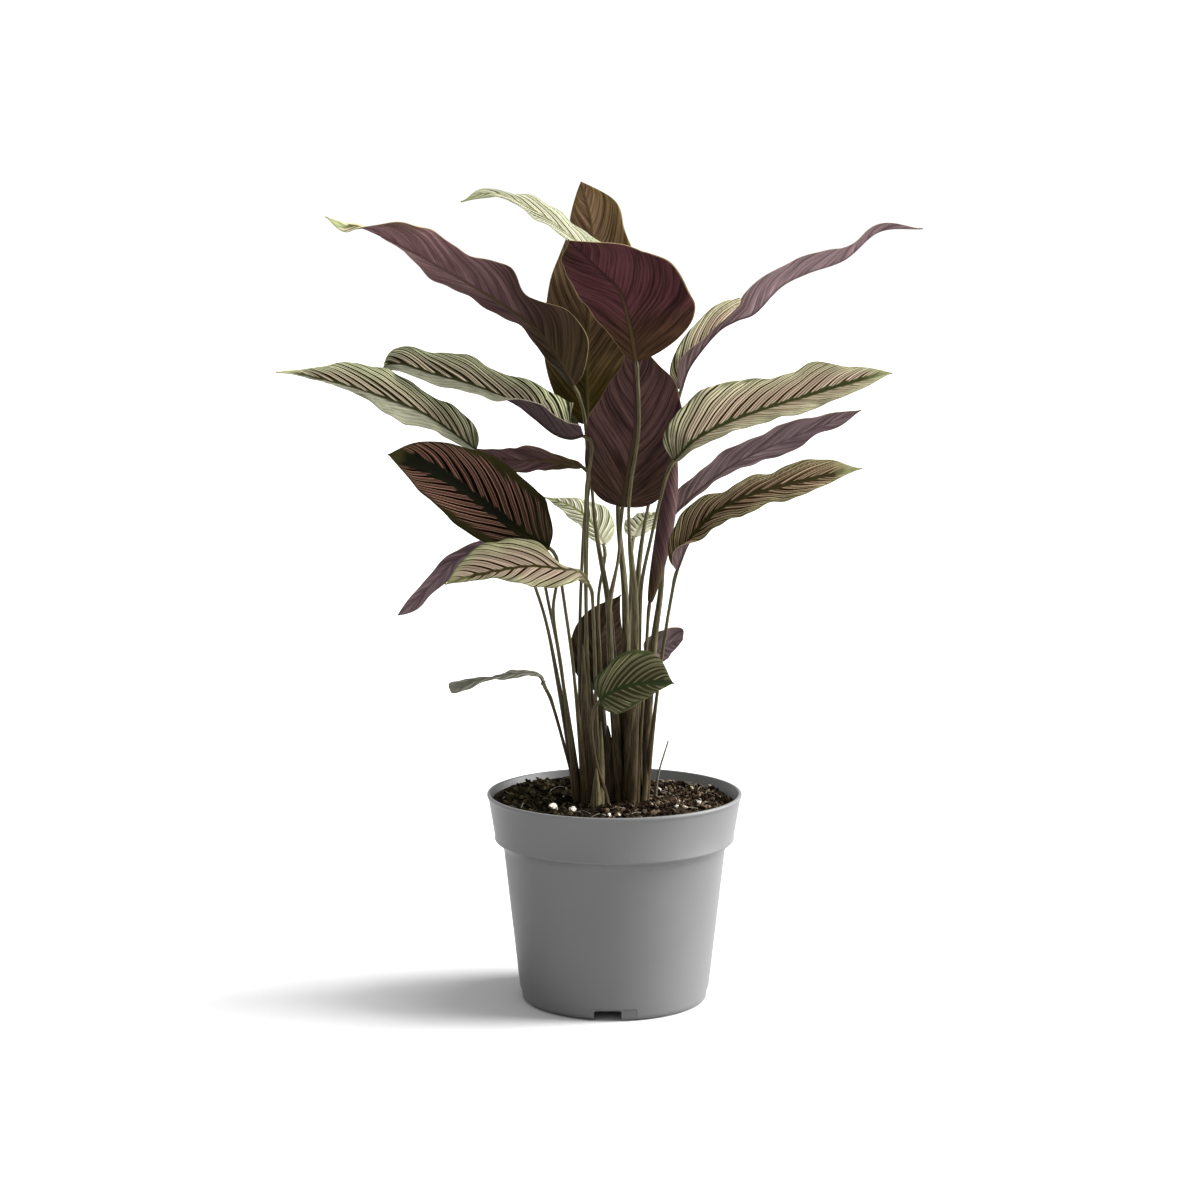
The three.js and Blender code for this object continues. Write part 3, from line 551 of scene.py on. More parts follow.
def closed_faces(count, sides):
    """Faces of rings of points that are followed by two hubs, which close the first ring and the last."""
    faces = ring_quads(count, sides)
    last, hub = (count - 1) * sides, count * sides
    for k in range(sides):
        after = (k + 1) % sides
        faces.append([after, k, hub])
        faces.append([last + k, last + after, hub + 1])
    return faces


class Bundle:
    """Tubes that make one piece, with the numbers that a stalk's material reads."""

    def __init__(self):
        self.points = np.empty((0, 3))
        self.faces = []
        self.heights = []
        self.around = []

    def add(self, path, rings, sides, radius_at, lift=0, turn=0):
        """One tube more. lift and turn shift its numbers, which are its length so far and share of a turn."""
        shares = np.linspace(0, 1, rings)
        self.faces += tube_faces(rings, sides, len(self.points))
        self.points = np.concatenate([self.points, tube(path, shares, sides, radius_at)])
        self.heights.append(np.repeat(shares * path.length + lift, sides))
        self.around.append(np.tile(np.arange(sides) / sides, rings) + turn)

    def make(self, name, material, slot, *nodes):
        piece = new_piece(name, self.points, self.faces, [material])
        give_numbers(piece, height=np.concatenate(self.heights), around=np.concatenate(self.around))
        finish_piece(piece, slot, *nodes)


def stalk_path(leaf):
    """The way of a leaf's stalk, from below the soil to its blade."""
    x, y = leaf["root"]
    base = np.array(leaf["rib"][0], float)
    along = Path(leaf["rib"]).along([0.0])[0]
    way = unit(along + unit(base - leaf["via"][-1]))
    return Path([(x, y, SOIL_Z - ROOT_DEPTH), (x, y, SOIL_Z + 4), *leaf["via"],
                 tuple(base - APPROACH * way), tuple(base + 0.6 * along)], taut=True)


def make_stalks(clump):
    """The stalks of a clump as one piece, each clasped by its sheath low down."""
    bundle = Bundle()
    leaves = [leaf for leaf in [*LEAVES, ROLLED_LEAF] if leaf["clump"] == clump]
    for index, leaf in enumerate(leaves):
        path = stalk_path(leaf)
        knuckle = KNUCKLE_LENGTH / path.length
        start = 1.1 * index

        def radius_at(share, angle):
            sheath = max(0, 1 - share / leaf["sheath"]) ** leaf["fall"]
            body = STALK_TOP_RADIUS + (SHEATH_RADIUS - STALK_TOP_RADIUS) * sheath
            swell = math.exp(-((share - 1 + 0.6 * knuckle) / (0.5 * knuckle)) ** 2)
            turn = np.mod(angle + start, FULL_TURN) / FULL_TURN
            return body * (1 + KNUCKLE_SWELL * swell + SHEATH_LAP * sheath * (turn - 0.5))

        bundle.add(path, STALK_RINGS, STALK_SIDES, radius_at, turn=3.3 * index)
    bundle.make(f"stalks_{clump}_clump", stalk_material(), "stem", f"stalks_{clump}")


def make_shoots():
    """Pointed young shoots, whose lift keeps them green, and old sheaths, as one piece."""
    bundle = Bundle()
    for index, ((x, y), tip, radius) in enumerate(YOUNG_SHOOTS + OLD_SHEATHS):
        root = np.array([x, y, SOIL_Z - SHOOT_DEPTH])
        path = Path([root, root * 0.5 + np.array(tip) * 0.5 + np.array([0.6, 0, 0]), tip])
        lift = GREEN_FROM if index < len(YOUNG_SHOOTS) else 0

        def radius_at(share, angle):
            return radius * (1.02 - share**1.6) ** 0.8 * (1 + 0.12 * np.cos(2 * angle))

        bundle.add(path, SHOOT_RINGS, SHOOT_SIDES, radius_at, lift, 2.7 * index)
    bundle.make("young_shoots", stalk_material(), "stem")


def make_dry_stalk():
    def radius_at(share, angle):
        return DRY_STALK_RADIUS * (1.1 - 0.5 * share) * (1 + 0.2 * np.sin(3 * angle + 9 * share))

    bundle = Bundle()
    bundle.add(Path(DRY_STALK), 24, 8, radius_at)
    bundle.make("dry_stalk_thin", dry_material(), "stem", "dry_stalk")


def make_rolled_leaf():
    """A leaf rolled into a spindle, whose free margin shows as a step along it."""
    shares = np.linspace(0, 1, ROLLED_RINGS)

    def radius_at(share, angle):
        body = math.sin(math.pi * (0.03 + 0.94 * share)) ** 0.5
        start = 2.2 - 2.5 * share
        turn = np.mod(angle - start, FULL_TURN) / FULL_TURN
        return np.maximum(ROLLED_RADIUS * body * (1 + ROLLED_LAP * (turn - 0.2)), 0.6)

    points = tube(Path(ROLLED_LEAF["rib"]), shares, ROLLED_SIDES, radius_at)
    piece = new_piece("rolled_leaf", points, tube_faces(ROLLED_RINGS, ROLLED_SIDES),
                      [under_material(ROLLED_LEAF["under"])])
    around = np.tile(np.arange(ROLLED_SIDES) / ROLLED_SIDES, ROLLED_RINGS)
    along = np.repeat(shares, ROLLED_SIDES)
    # An even painted shade darkens the rolled leaf.
    give_numbers(piece, vein=6 * around + 9 * along, across=0.3 + 0.4 * around,
                 side=np.full(len(along), 6.0), share=along, dim=np.full(len(along), 0.45))
    finish_piece(piece, "leaf", ROLLED_LEAF["name"])


def srgb(*screen):
    """A linear colour from screen values of 0 to 255."""
    shares = [value / 255 for value in screen]
    return tuple(v / 12.92 if v < 0.04 else ((v + 0.055) / 1.055) ** 2.4 for v in shares) + (1,)


class Value:
    """A number, place or colour in a node tree, which adds and multiplies like a plain number."""

    def __init__(self, nodes, socket):
        self.nodes = nodes
        self.socket = socket

    def __add__(self, other):
        return self.nodes.math("ADD", self, other)

    def __sub__(self, other):
        return self.nodes.math("SUBTRACT", self, other)

    def __rsub__(self, other):
        return self.nodes.math("SUBTRACT", other, self)

    def __mul__(self, other):
        return self.nodes.math("MULTIPLY", self, other)

    def __abs__(self):
        return self.nodes.math("ABSOLUTE", self)

    def step(self, low, high, out_low=0.0, out_high=1.0):
        """A smooth rise from out_low to out_high as this number goes from low to high."""
        inputs = enumerate((self, low, high, out_low, out_high))
        return self.nodes.node("MapRange", "Result", inputs, interpolation_type="SMOOTHSTEP")


class Nodes:
    """Short ways to add nodes to a tree."""

    def __init__(self, tree):
        self.tree = tree

    def put(self, socket, value):
        """Links a value of the tree to a socket, or sets a plain one on it."""
        if isinstance(value, Value):
            self.tree.links.new(value.socket, socket)
        else:
            socket.default_value = value

    def node(self, kind, output, inputs=(), **settings):
        """One output of a new node that has these inputs and settings."""
        made = self.tree.nodes.new("ShaderNode" + kind)
        for name, setting in settings.items():
            setattr(made, name, setting)
        for key, value in dict(inputs).items():
            self.put(made.inputs[key], value)
        return Value(self, made.outputs[output])

    def place(self):
        """The point in the piece, in metres."""
        return self.node("TexCoord", "Object")

    def number(self, name):
        """A number that the mesh gives at each point."""
        return self.node("Attribute", "Fac", attribute_name=name)

    def math(self, operation, *values):
        return self.node("Math", 0, enumerate(values), operation=operation)

    def noise(self, scale, detail=2.0, rough=0.5, place=None):
        inputs = {"Vector": place or self.place(), "Scale": scale, "Detail": detail, "Roughness": rough}
        return self.node("TexNoise", "Fac", inputs)

    def chance(self, value):
        """A random number from 0 to 1 for each whole number."""
        return self.node("TexWhiteNoise", "Value", {"W": self.math("FLOOR", value)}, noise_dimensions="1D")

    def vector(self, *values):
        return self.node("CombineXYZ", 0, enumerate(values))

    def parts(self, vector):
        """The x, y and z of a vector."""
        return [self.node("SeparateXYZ", axis, {0: vector}) for axis in "XYZ"]

    def mix(self, share, a, b):
        """The colour that lies this share of the way from a to b."""
        return self.node("Mix", 2, {0: share, 6: a, 7: b}, data_type="RGBA")


class Shader(Nodes):
    """A material with one Principled shader."""

    def __init__(self, name, roughness, gloss=0.0):
        self.material = bpy.data.materials.new(name)
        self.material.use_nodes = True
        super().__init__(self.material.node_tree)
        self.sockets = self.tree.nodes["Principled BSDF"].inputs
        self.put(self.sockets["Roughness"], roughness)
        self.put(self.sockets["Specular IOR Level"], gloss)

    def finished(self, colour, grain, strength, depth):
        """The material with its colour, and with a bump of this depth in metres where the grain is high."""
        self.put(self.sockets["Base Color"], colour)
        bump = self.node("Bump", "Normal", {"Strength": strength, "Distance": depth, "Height": grain})
        self.put(self.sockets["Normal"], bump)
        return self.material

    def dimmed(self, colour):
        """A colour darkened by the blade's painted shade, as its own list says."""
        return self.mix(self.number("dim"), (0, 0, 0, 1), colour)


# Upper faces, in colours as seen. A band lies between two veins and shows three pale strokes.
# gap: dark share of a band, on its veins. line: width of the dark lines between strokes, as a share
# of a band. zone, ragged: how far off the midrib strokes start, in mm. rim: how far out they reach
# near the base.
UPPER_LOOKS = {
    "cream": dict(
        dark=(54, 42, 20), pale=(230, 224, 184), blush=(226, 202, 176), rib=(64, 70, 38),
        margin=(120, 126, 84), base=(56, 60, 34), tip=(164, 168, 124), plain=(150, 148, 118), gap=0.3,
        line=0.12, zone=0.3, ragged=1.2, rim=0.97,
    ),
    "lime": dict(
        dark=(18, 17, 6), pale=(204, 206, 164), blush=(198, 184, 156), rib=(40, 40, 22),
        margin=(108, 114, 78), base=(46, 48, 30), tip=(150, 156, 110), plain=(124, 124, 106), gap=0.4,
        line=0.16, zone=0.15, ragged=0.7, rim=0.99,
    ),
    "dark": dict(
        dark=(22, 14, 6), pale=(208, 160, 136), blush=(204, 152, 130), rib=(34, 36, 25), margin=(64, 60, 34),
        base=(60, 58, 32), tip=(84, 76, 44), plain=(64, 60, 34), gap=0.4, line=0.22, zone=1.6, ragged=3.0,
        rim=0.74,
    ),
    "bronze": dict(
        dark=(44, 33, 16), pale=(204, 188, 146), blush=(192, 164, 134), rib=(50, 46, 24),
        margin=(102, 100, 58), base=(66, 54, 26), tip=(150, 150, 108), plain=(112, 104, 74), gap=0.4,
        line=0.2, zone=0.3, ragged=1.6, rim=0.95,
    ),
    "pale": dict(
        dark=(44, 34, 14), pale=(210, 206, 162), blush=(214, 190, 166), rib=(66, 60, 32),
        margin=(126, 130, 80), base=(120, 116, 84), tip=(162, 164, 112), plain=(160, 160, 126), gap=0.24,
        line=0.06, zone=0.1, ragged=0.5, rim=0.98,
    ),
    "bleached": dict(
        dark=(60, 66, 36), pale=(202, 202, 174), blush=(198, 194, 170), rib=(100, 104, 68),
        margin=(150, 156, 118), base=(170, 170, 140), tip=(140, 148, 102), plain=(180, 180, 150), gap=0.24,
        line=0.1, zone=0.1, ragged=0.3, rim=0.98,
    ),
    "young": dict(
        dark=(44, 44, 26), pale=(186, 180, 138), blush=(168, 156, 122), rib=(40, 48, 28), margin=(56, 64, 38),
        base=(46, 52, 32), tip=(60, 66, 42), plain=(56, 62, 38), gap=0.54, line=0.3, zone=0.4, ragged=0.9,
        rim=0.88,
    ),
    "faded": dict(
        dark=(72, 72, 62), pale=(132, 132, 120), blush=(120, 116, 104), rib=(80, 80, 70), margin=(98, 98, 86),
        base=(88, 88, 76), tip=(98, 98, 86), plain=(110, 110, 98), gap=0.3, line=0.05, zone=0.5, ragged=1.0,
        rim=0.9,
    ),
}

# Lower faces, in colours as seen. deep, streak: the purple and its pale streaks, which are partly pink
# pigment and partly painted sheen. dull, olive: dark and light tones towards base and margin, as far as
# green says, which are painted backlight shining through the blade.
UNDER_LOOKS = {
    "plum": dict(
        deep=(68, 45, 46), streak=(132, 102, 102), dull=(52, 42, 20), olive=(100, 84, 50), rib=(84, 70, 46),
        edge=(158, 144, 106), green=0.85,
    ),
    "wine": dict(
        deep=(48, 24, 26), streak=(110, 66, 70), dull=(46, 32, 18), olive=(92, 72, 42), rib=(84, 68, 44),
        edge=(148, 132, 94), green=0.75,
    ),
    "deep": dict(
        deep=(44, 28, 28), streak=(106, 78, 74), dull=(46, 34, 24), olive=(92, 74, 54), rib=(72, 60, 42),
        edge=(100, 86, 64), green=0.6,
    ),
    "olive": dict(
        deep=(68, 52, 30), streak=(142, 114, 88), dull=(58, 50, 18), olive=(110, 92, 40), rib=(92, 84, 50),
        edge=(130, 122, 80), green=1.0,
    ),
    "mauve": dict(
        deep=(90, 70, 74), streak=(160, 136, 138), dull=(82, 66, 62), olive=(130, 112, 104), rib=(92, 74, 70),
        edge=(164, 152, 132), green=0.5,
    ),
    "faded": dict(
        deep=(78, 74, 62), streak=(112, 108, 94), dull=(80, 76, 58), olive=(96, 92, 74), rib=(88, 82, 66),
        edge=(104, 100, 84), green=0.5,
    ),
}

# Light that falls on the leaves, against plain white at 1
LIGHT_ON_LEAVES = 1.3


def seen(colour):
    """The paint that shows as this screen colour under the leaves' light."""
    return tuple(v / LIGHT_ON_LEAVES for v in srgb(*colour)[:3]) + (1,)


def tones(look):
    """A look with its colours as paint and its plain numbers as they are."""
    return SimpleNamespace(**{key: seen(v) if isinstance(v, tuple) else v for key, v in look.items()})


def blade_numbers(shader):
    """The blade's numbers at a point, with the closeness to a vein: 1 on it, 0 halfway to the next."""
    vein, *others = (shader.number(name) for name in ("vein", "across", "side", "share"))
    vein = vein + (shader.noise(40) - 0.5) * 0.3
    return vein, abs(shader.math("FRACT", vein) - 0.5) * 2, *others


@cache
def upper_material(look):
    """Pale bands of three brushed strokes each, dark gaps on the veins, a green midrib and margin, all
    darkened by the blade's painted shade.
    """
    tone = tones(UPPER_LOOKS[look])
    shader = Shader("leaf_upper_" + look, 0.6)
    vein, near_vein, across, side, share = blade_numbers(shader)
    own = shader.chance(vein) - 0.5
    stroke = shader.chance(vein * 3)
    blotch = shader.noise(70, 3)
    ragged = (blotch - 0.5) * 0.25

    reach = across.step(0, 0.8, 1 - 1.15 * tone.gap, 1 - 0.75 * tone.gap) + own * 0.16
    stripe = near_vein.step(reach + 0.05, reach - 0.05)
    from_line = abs(near_vein + (own * 0.12 - 0.27))
    stripe = stripe * from_line.step(0.4 * tone.line, 1.5 * tone.line, 0.15, 1)
    start = near_vein * 0.9 + stroke * tone.ragged + share.step(0.5, 0.95, tone.zone, 2.5 * tone.zone)
    stripe = stripe * side.step(start, start + 0.9)
    end = share.step(0.4, 0.8, tone.rim, 0.95) - stroke * 0.12
    rim = (across + ragged).step(end, end + 0.15)
    stripe = stripe * (1 - rim) * (share + ragged).step(0, 0.13, 0.25, 1) * stroke.step(0, 1, 0.6, 1)

    blush = (across + blotch * 0.5).step(0.55, 1.15)
    ground = shader.mix(side.step(start, start + 1.5), tone.rib, tone.dark)
    ground = shader.mix(rim, ground, tone.margin)
    ground = shader.mix(share.step(0.3, 0.04), ground, tone.base)
    colour = shader.mix(stripe, ground, shader.mix(blush, tone.blush, tone.pale))
    fibre = shader.noise(1, 3, place=shader.vector(vein * 2, across * 6))
    worn = shader.mix(fibre.step(0.3, 0.7), shader.mix(0.45, tone.plain, tone.dark), tone.plain)
    worn = shader.mix(across.step(0.25, 0), worn, tone.dark)
    colour = shader.mix(shader.number("plain"), colour, worn)
    colour = shader.mix((share + ragged).step(0.85, 1, 0, 0.8), colour, tone.tip)
    return shader.finished(shader.dimmed(colour), shader.noise(900) - near_vein, 0.3, 0.0004)


@cache
def under_material(look):
    """Purple and streaked along the veins, olive towards base and margin, with a pale rim.

    The pale streaks are partly pink pigment and partly painted sheen; painted shading lies on the folds and
    painted shade in the creases on the veins. The olive is painted backlight shining through the blade.
    """
    tone = tones(UNDER_LOOKS[look])
    shader = Shader("leaf_under_" + look, 0.6, gloss=0.02)
    vein, near_vein, across, side, share = blade_numbers(shader)

    # Painted light and shade: broad light and dark streaks along the veins stand for light on the blade's
    # folds, dark lines on the veins for the shade in its creases, and the narrow pale streaks are partly pink
    # pigment and partly painted sheen.
    painted_fold_shading = shader.noise(1, place=shader.vector(vein * 0.8, side * 0.02, share))
    narrow = shader.noise(1, 3, 0.6, shader.vector(vein * 4, side * 0.05, share))
    painted_crease_shade = near_vein.step(0.76, 0.96) * shader.chance(vein).step(0, 1, 0.4, 1)
    light = (painted_fold_shading * 1.1 + narrow * 1.9).step(0.95, 2.05) * (1 - painted_crease_shade * 0.8)
    # Painted backlight: olive towards base and margin, as far as the look's green says, stands for light
    # shining through the blade.
    outer = abs(share - 0.5) + across * 0.45 + (shader.noise(45, 3) - 0.5) * 0.9
    outer = shader.math("MAXIMUM", outer.step(0.5, 1.05), share.step(0.4, 0.1)) * tone.green
    body = shader.mix(light, tone.deep, tone.streak)
    body = shader.mix(outer, body, shader.mix(light, tone.dull, tone.olive))

    rib_width = share.step(0, 0.7, 1.1, 0.35)
    body = shader.mix(side.step(rib_width + 1.6, rib_width, 0, 0.6), body, tone.deep)
    rib = shader.mix(share.step(0.3, 0.7), tone.rib, body)
    body = shader.mix(side.step(rib_width + 0.35, rib_width), body, rib)
    colour = shader.mix(across.step(0.975, 0.99, 0, 0.7), shader.dimmed(body), tone.edge)
    return shader.finished(colour, near_vein + shader.noise(900), 0.3, 0.0004)


@cache
def stalk_material():
    """Dark olive, streaked lengthwise, turning brown and fibrous on the sheaths."""
    shader = Shader("stalk", 0.5, gloss=0.08)
    height = shader.number("height")
    fibre = shader.noise(3, 4, 0.6, shader.vector(shader.number("around") * 9, height * 0.02))
    streak = fibre.step(0.35, 0.65)
    green = shader.mix(streak, srgb(27, 25, 13), srgb(84, 78, 53))
    brown = shader.mix(streak, srgb(17, 12, 7), srgb(62, 49, 32))
    low = height.step(GREEN_FROM, 20) * fibre.step(0.2, 0.6, 0.5, 1)
    return shader.finished(shader.mix(low, green, brown), fibre, 0.5, 0.0006)


@cache
def dry_material():
    shader = Shader("dry_stalk", 0.7, gloss=0.5)
    grain = shader.noise(400, 3)
    return shader.finished(shader.mix(grain, srgb(62, 58, 48), srgb(112, 108, 94)), grain, 0.4, 0.0004)


def inside_band(shader):
    """1 on the inner face of the rim band, which soil and shade keep darker, 0 on the outer face."""
    x, y, z = shader.parts(shader.place())
    slope = (RIM_RADIUS - LIP_OVERHANG - BAND_BOTTOM_RADIUS) / (POT_HEIGHT - LIP_HEIGHT - BAND_BOTTOM_Z)
    wall = z * slope + (BAND_BOTTOM_RADIUS - WALL / 2 - slope * BAND_BOTTOM_Z) * MM
    inner = (wall - shader.math("SQRT", x * x + y * y)).step(0, 0.6 * MM)
    return inner * z.step((BAND_BOTTOM_Z - 3) * MM, BAND_BOTTOM_Z * MM)


def painted_light_side(shader):
    """0 at the left of the pot and 1 at the right, for painted shade of the foliage at the left and painted
    light at the right.
    """
    return shader.parts(shader.place())[0].step(-40 * MM, 50 * MM)


@cache
def pot_material():
    """Grey moulded plastic with a fine grain and faint flow marks, and painted shade on the inner face of
    the rim band.
    """
    shader = Shader("pot_plastic", 0.5, gloss=0.3)
    cloud = shader.noise(14, 3)
    grain = shader.noise(1400, 2)
    shade = shader.mix(cloud.step(0.3, 0.7), srgb(82, 82, 82), srgb(86, 86, 86))
    shade = shader.mix(grain * 0.2, shade, srgb(98, 98, 98))
    # Painted shade on the inner face of the band, far darker at the left, where the foliage shades it.
    inner_painted_shade = shader.mix(painted_light_side(shader), srgb(27, 28, 26), srgb(78, 79, 77))
    shader.put(shader.sockets["Roughness"], cloud.step(0.3, 0.7, 0.42, 0.52))
    return shader.finished(shader.mix(inside_band(shader), shade, inner_painted_shade), grain, 0.25, 0.0002)


@cache
def soil_material():
    shader = Shader("soil", 0.95)
    # Painted light and shade: dry is 0 at the left, where painted shade of the foliage darkens the soil, and
    # 1 at the right, which is painted lighter and alone shows pale crumbs.
    dry = painted_light_side(shader)
    lump, crumb = shader.noise(160, 5, 0.65), shader.noise(900, 4, 0.7)
    light = shader.mix(dry, srgb(36, 32, 22), srgb(50, 40, 31))
    colour = shader.mix(lump.step(0.35, 0.7), srgb(9, 7, 5), light)
    colour = shader.mix(crumb.step(0.55, 0.8) * dry, colour, srgb(70, 58, 46))
    return shader.finished(colour, lump + crumb * 0.5, 1, 0.002)


@cache
def bark_material():
    shader = Shader("bark", 0.9)
    patch, grain = shader.noise(110, 2), shader.noise(1500, 4, 0.7)
    # Painted light and shade: the bark is lighter at the right and darker at the left, where the foliage
    # shades it.
    light = shader.mix(painted_light_side(shader), srgb(66, 58, 42), srgb(112, 96, 80))
    colour = shader.mix(patch.step(0.35, 0.65), srgb(14, 10, 7), light)
    return shader.finished(shader.mix(grain * 0.6, colour, srgb(24, 18, 13)), grain, 0.8, 0.0008)


@cache
def chip_material():
    """Pale dry chips of bark."""
    shader = Shader("pale_chip", 0.9)
    tint = shader.mix(shader.noise(90, 2).step(0.4, 0.65), srgb(92, 76, 60), srgb(186, 170, 148))
    colour = shader.mix(shader.noise(700, 3, 0.7), srgb(46, 36, 27), tint)
    return shader.finished(colour, shader.noise(1500, 3), 0.8, 0.0006)


@cache
def perlite_material():
    shader = Shader("perlite", 0.9, gloss=0.5)
    grain = shader.noise(1200, 4, 0.7)
    colour = shader.mix(grain.step(0.3, 0.7), srgb(112, 102, 90), srgb(204, 198, 188))
    return shader.finished(colour, grain, 0.8, 0.0006)


def floor_material():
    shader = Shader("floor", 0.9)
    shader.put(shader.sockets["Base Color"], (FLOOR_ALBEDO, FLOOR_ALBEDO, FLOOR_ALBEDO, 1))
    return shader.material


# Pot, as in the part's own source but for the lower edge of its rim band
RIM_RADIUS = 95
POT_HEIGHT = 156
BAND_BOTTOM_Z = 122
BAND_BOTTOM_RADIUS = 89.2
BODY_TOP_Z = 115.5
BODY_TOP_RADIUS = 82.9
BASE_RADIUS = 70.6
WALL = 2
LIP_HEIGHT = 3
LIP_OVERHANG = 0.9
FLOOR_Z = 8
FLOOR_THICKNESS = 2.5
POT_SEGMENTS = 144
HUB_RADIUS = 13
DRAIN_COUNT = 8
DRAIN_RADIUS = 5
DRAIN_CIRCLE_RADIUS = 38

# Cuts round the foot: how many of each, and their width, height, shift to the side and reach inwards
NOTCH_COUNT = 4
NOTCH = (20, 7.4, -5.2, 12)
RECESS = (34, 9.4, -0.5, 2.2)


def circle(count):
    """Evenly spread points of a circle of radius 1."""
    angle = np.linspace(0, FULL_TURN, count, endpoint=False)
    return np.stack([np.cos(angle), np.sin(angle)], axis=1)


def level_rings(corners, segments):
    """A ring of points for each radius and height."""
    return [np.column_stack([circle(segments) * radius, np.full(segments, z)]) for radius, z in corners]


def turned(name, profile, segments, materials=(), middle=(0, 0)):
    """A closed profile of radius and height, from axis to axis, turned round an upright line."""
    rings = level_rings(profile[1:-1], segments)
    points = np.vstack([*rings, [0, 0, profile[0][1]], [0, 0, profile[-1][1]]])
    return new_piece(name, points + [*middle, 0], closed_faces(len(rings), segments), materials)


def arc(centre, radius, start, end, steps):
    """Points of a rounded corner of the profile, from one angle in degrees to another."""
    angles = np.radians(np.linspace(start, end, steps))
    return [(centre[0] + radius * math.cos(a), centre[1] + radius * math.sin(a)) for a in angles]


def pot_profile():
    """From the middle of the underside over the foot, the band and the lip to the middle of the inside.

    Each corner is given by its radius and height, and then the small steps round it.
    """
    foot = BASE_RADIUS - 5
    band, lip_z, floor_z = RIM_RADIUS - LIP_OVERHANG, POT_HEIGHT - LIP_HEIGHT, FLOOR_Z + FLOOR_THICKNESS
    outside = [
        (BODY_TOP_RADIUS, BODY_TOP_Z, [(-0.25, -2.4), (0, -0.6), (0.5, 0.5), (1.6, 1.6)]),
        (BAND_BOTTOM_RADIUS, BAND_BOTTOM_Z, [(-1.5, -1.7), (-0.1, -0.9), (0.3, -0.2), (0.35, 0.3), (0, 1.3)]),
        (band, lip_z, [(-0.15, -0.8), (0.1, 0)]),
        (RIM_RADIUS, lip_z, [(-0.3, 0.4), (0, 1.1)]),
        (RIM_RADIUS, POT_HEIGHT, [(0, -0.9), (-0.35, -0.25), (-1, 0)]),
        (RIM_RADIUS - WALL, POT_HEIGHT, [(-0.2, -0.1), (-LIP_OVERHANG, -0.8)]),
    ]
    return [
        (0, FLOOR_Z), (foot - 2.5, FLOOR_Z), (foot - 2, 0.4), (foot - 1.6, 0),
        *arc((foot, 5), 5, -90, -4, 8),
        *[(radius + out, z + up) for radius, z, steps in outside for out, up in steps],
        (BAND_BOTTOM_RADIUS - WALL, BAND_BOTTOM_Z), (BODY_TOP_RADIUS - WALL, BODY_TOP_Z),
        (BASE_RADIUS - WALL, floor_z), (0, floor_z),
    ]


def cutter(width, height, shift, reach, turn):
    """A block with rounded upper corners that cuts the pot's foot from outside."""
    corner = 1.6
    half = width / 2
    side = [(-half, -5), (half, -5), *arc((half - corner, height - corner), corner, 0, 90, 5),
            *arc((corner - half, height - corner), corner, 90, 180, 5)]
    points = np.array([(x + shift, y - BASE_RADIUS, z) for y in (-12, reach) for x, z in side])
    count = len(side)
    faces = [list(range(count)), list(range(2 * count - 1, count - 1, -1))]
    faces += [[k, k + count, (k + 1) % count + count, (k + 1) % count] for k in range(count)]
    return new_piece("cutter", points @ turn_matrix(2, FULL_TURN * turn / NOTCH_COUNT).T, faces, smooth=False)


def turn_matrix(axis, angle):
    """A turn about the x, y or z axis, which is 0, 1 or 2."""
    a, b = (axis + 1) % 3, (axis + 2) % 3
    matrix = np.eye(3)
    matrix[a, a] = matrix[b, b] = math.cos(angle)
    matrix[b, a] = math.sin(angle)
    matrix[a, b] = -math.sin(angle)
    return matrix


def combine(piece, tool, operation="DIFFERENCE"):
    """A solid cut by or joined with another, which is then dropped."""
    modifier = piece.modifiers.new("combine", "BOOLEAN")
    modifier.operation = operation
    modifier.solver = "EXACT"
    modifier.object = tool
    made = bpy.data.meshes.new_from_object(piece.evaluated_get(bpy.context.evaluated_depsgraph_get()))
    piece.modifiers.clear()
    piece.data = made
    bpy.data.objects.remove(tool)


def make_pot():
    pot = turned("nursery_pot", pot_profile(), POT_SEGMENTS, [pot_material()])
    hub = [(0, 0), (HUB_RADIUS - 0.6, 0), (HUB_RADIUS, 0.6), (HUB_RADIUS, FLOOR_Z + 1), (0, FLOOR_Z + 1)]
    combine(pot, turned("hub", hub, 64), "UNION")
    for turn in range(NOTCH_COUNT):
        for cut in (NOTCH, RECESS):
            combine(pot, cutter(*cut, turn))
    hole = [(0, 4), (DRAIN_RADIUS, 4), (DRAIN_RADIUS, 14), (0, 14)]
    for middle in DRAIN_CIRCLE_RADIUS * circle(DRAIN_COUNT):
        combine(pot, turned("hole", hole, 32, middle=middle))
    pot.data.set_sharp_from_angle(angle=math.radians(38))
    finish_piece(pot, "pot_plastic", "pot")


def value_noise(rng, x, y, cell):
    """Smooth random heights over a plane, with lumps about one cell across."""
    size = 64
    table = rng.uniform(-1, 1, (size, size))
    u, v = x / cell + size / 2, y / cell + size / 2
    i, j = np.floor(u).astype(int), np.floor(v).astype(int)
    fu, fv = smoothstep(0, 1, u - i), smoothstep(0, 1, v - j)

    def along_row(row):
        return table[i % size, row % size] * (1 - fu) + table[(i + 1) % size, row % size] * fu

    return along_row(j) * (1 - fv) + along_row(j + 1) * fv


# Soil's surface, and how many loose pieces lie on it
SOIL_EDGE = 90.4
SOIL_RINGS = 90
SOIL_SEGMENTS = 220
BARK_COUNT = 420
CRUMB_COUNT = 1100
CHIP_COUNT = 420
FIBRE_COUNT = 90
FIBRE_RADIUS = 0.22


